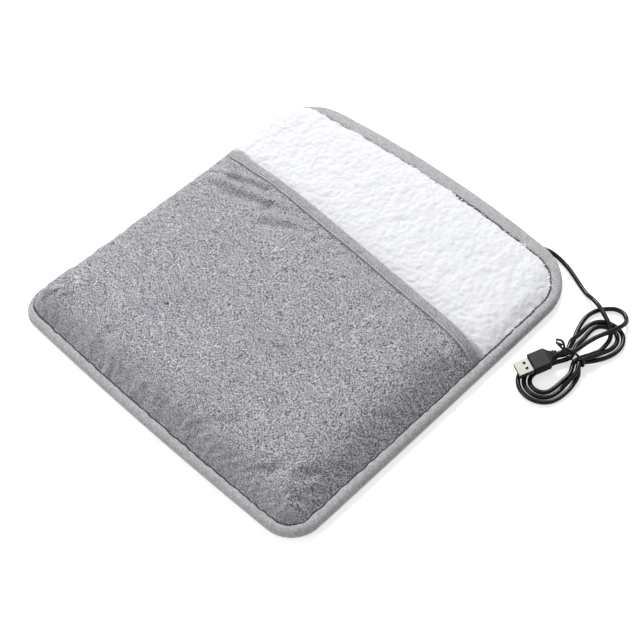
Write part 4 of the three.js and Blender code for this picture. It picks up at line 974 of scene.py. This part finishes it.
def stitches(name, points, length, gap, radius, material, slant=0.0):
    """Separate stitches that lie end to end along points in millimetres of the pad's frame."""
    points = np.asarray(points, float)
    travel = np.r_[0, np.cumsum(np.linalg.norm(np.diff(points, axis=0), axis=1))]
    places = np.arange(length / 2, travel[-1], length + gap)
    at = np.stack([np.interp(places, travel, points[:, axis]) for axis in range(3)], axis=1)
    ahead = np.gradient(at, axis=0)
    lengthwise = Matrix.Rotation(math.pi / 2, 4, "Y")
    size = Matrix.Diagonal((length / 2 * MM, radius * MM, radius * 0.8 * MM, 1))
    bm = bmesh.new()
    for place, direction in zip(to_model(at), ahead):
        turn = Vector(direction).to_track_quat("X", "Z").to_matrix().to_4x4()
        turn = turn @ Matrix.Rotation(slant, 4, "Z")
        placed = Matrix.Translation(Vector(place)) @ turn @ size @ lengthwise
        bmesh.ops.create_uvsphere(bm, u_segments=6, v_segments=4, radius=1, matrix=placed)
    return finish_piece(new_piece(name, bm, material))


# Rows of stitches on the mouth's tape: place across it, lift, radius and thread. The first row's near-black
# thread in the groove is painted shade of the groove's crease.
MOUTH_ROWS = [(-7.2, 1.1, 0.36, groove_shade), (-8.6, 1.62, 0.34, stitch_thread)]


def mouth_stitching_and_groove_shade():
    """One row of dark stitches in the tape's groove, which paints the shade of its crease, and a pale row of
    stitches beside it.
    """
    xs = np.linspace(-146, 144, 400)
    y = mouth_line(xs)
    back, _, _, relief = mouth_levels(xs)
    sag = mouth_sag(xs, y)
    for number, (step, lift, radius, thread) in enumerate(MOUTH_ROWS, 1):
        plan_x, plan_y = sewn(xs, y + step - BEND * sag)
        row = np.stack([plan_x, plan_y, back + relief + lift * tape_fullness(xs)], axis=1)
        stitches(f"mouth_stitches_and_groove_shade_{number}", row, 3.0, 0.25, radius, thread)


def edge_stitching_and_shadow():
    """The dark seam line beside the binding: overlock stitches whose near-black colour is partly the thread's
    own and partly painted shadow of the seam's crevice, hidden by curls along the left of the far side.
    """
    stations = outline_stations(1.5)
    x, y, nx, ny = stations.T
    keep = (nx > -0.7) & ~((ny > 0.5) & (x < 25))
    inset = top_cover(nx, ny) + 0.15 + raggedness(x, y)
    plan_x, plan_y = sewn(x - nx * inset, y - ny * inset)
    by_sherpa = clamp((y - mouth_line(x)) / 5)
    level = BINDING_HEIGHT - 0.7 + 0.45 * by_sherpa + 0.2 * line_noise(x / 9 + y / 7, 4.4, 64)
    path = np.stack([plan_x, plan_y, level], axis=1)
    start = int(np.argmax(~keep))
    order = np.roll(np.arange(len(path)), -start)
    path = path[order][keep[order]]
    stitches("edge_overlock_and_shadow", path, 4.6, -1.1, 0.78, seam_thread_and_shadow, slant=0.05)


def curl_fringe():
    """White curls that hang over the binding where the sherpa shows."""
    luck = random.Random(7)
    stations = outline_stations(1.0)
    bm = bmesh.new()
    for x, y, nx, ny in stations:
        if y < mouth_line(x) + 2 or nx < -0.3 or luck.random() > 0.4:
            continue
        inset = top_cover(nx, ny) + luck.uniform(0.2, 2.0)
        size = luck.uniform(0.4, 0.85)
        level = BINDING_HEIGHT + luck.uniform(-0.5, 0.5)
        centre = Vector(to_model([*sewn(x - nx * inset, y - ny * inset), level]))
        turn = Matrix.Rotation(luck.uniform(0, math.tau), 4, "Z")
        turn = turn @ Matrix.Rotation(luck.uniform(-0.6, 0.6), 4, "X")
        scale = Matrix.Diagonal((size * luck.uniform(1, 1.7) * MM, size * MM, size * 0.75 * MM, 1))
        placed = Matrix.Translation(centre) @ turn @ scale
        bmesh.ops.create_icosphere(bm, subdivisions=1, radius=1, matrix=placed)
    return finish_piece(new_piece("curl_fringe", bm, sherpa))


sherpa_piece = sherpa_cloth()
SETTLED = settled_front()
pocket_piece = pocket_cloth()
lining_piece = lining_cloth()
fill_piece = pocket_fill()
back_piece = back_cloth()
edge_piece = edge_tape()
mouth_piece = mouth_tape()
mouth_stitching_and_groove_shade()
edge_stitching_and_shadow()
curl_fringe()


# CAD pieces that stay, with materials.

CONTACTS = [f"usb_contact_{number}" for number in range(1, 5)]
STAYING = [
    (wadding, "wadding", ["back_wadding"]),
    (felt, "felt", ["heater_carrier", "heater_cover"]),
    (wire_sleeving, "heating_wire", ["heating_wire"]),
    (plated_steel, "plated_steel", ["crimp_sleeve_1", "crimp_sleeve_2", "thermostat_case", "usb_shell"]),
    (red_sleeving, "core_red", ["link_wire", "core_red"]),
    (black_sleeving, "core_black", ["core_black", "cord_stop_sleeve"]),
    (insulator, "insulator", ["thermostat_plug"]),
    (brass, "brass", ["thermostat_fixed_terminal", "thermostat_moving_terminal", "bimetal_arm", *CONTACTS]),
    (cord_skin, "cord", ["cord_tail"]),
    (tongue_white, "tongue", ["usb_tongue"]),
]
for material, slot_name, names in STAYING:
    for shown in (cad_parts[name] for name in names):
        shown.data.materials.clear()
        shown.data.materials.append(material)


# Floor, backdrop and light.


FLOOR_COLOUR, FLOOR_GLOW = (0.93, 0.93, 0.93, 1), 0.58
BACKDROP_LIGHT = 0.36
# Name, place in metres, size and power of each lamp.
LAMPS = [("key", (-1.3, 1.15, 1.8), 1.0, 50), ("fill", (-0.9, -1.7, 1.1), 1.4, 11)]


def studio():
    """A pale floor that glows a little to the camera, a white backdrop and two soft lamps."""
    bm = bmesh.new()
    bmesh.ops.create_grid(bm, x_segments=1, y_segments=1, size=6)
    bmesh.ops.translate(bm, verts=bm.verts, vec=(0, 0, -0.0004))
    material, tree, surface = shader("floor")
    to_camera = node(tree, "LightPath", {}, "Is Camera Ray")
    glow = node(tree, "Math", {0: to_camera, 1: FLOOR_GLOW}, operation="MULTIPLY")
    feed(tree, surface, {"Base Color": FLOOR_COLOUR, "Roughness": 0.9, "Emission Color": (1, 1, 1, 1),
                         "Emission Strength": glow})
    floor = new_piece("floor", bm, material, smooth=False)
    world = bpy.data.worlds.new("backdrop")
    bpy.context.scene.world = world
    world.use_nodes = True
    tree = world.node_tree
    to_camera = node(tree, "LightPath", {}, "Is Camera Ray")
    strength = node(tree, "Math", {0: to_camera, 1: BACKDROP_LIGHT}, operation="MAXIMUM")
    feed(tree, tree.nodes["Background"], {"Color": (1, 1, 1, 1), "Strength": strength})
    for name, place, size, power in LAMPS:
        lamp = bpy.data.lights.new(name, "AREA")
        lamp.shape, lamp.size, lamp.energy = "DISK", size, power
        holder = new_object(name, lamp)
        holder.location = place
        holder.rotation_mode = "QUATERNION"
        holder.rotation_quaternion = (-Vector(place)).to_track_quat("-Z", "Y")


studio()
bpy.context.scene.view_settings.view_transform = "Standard"
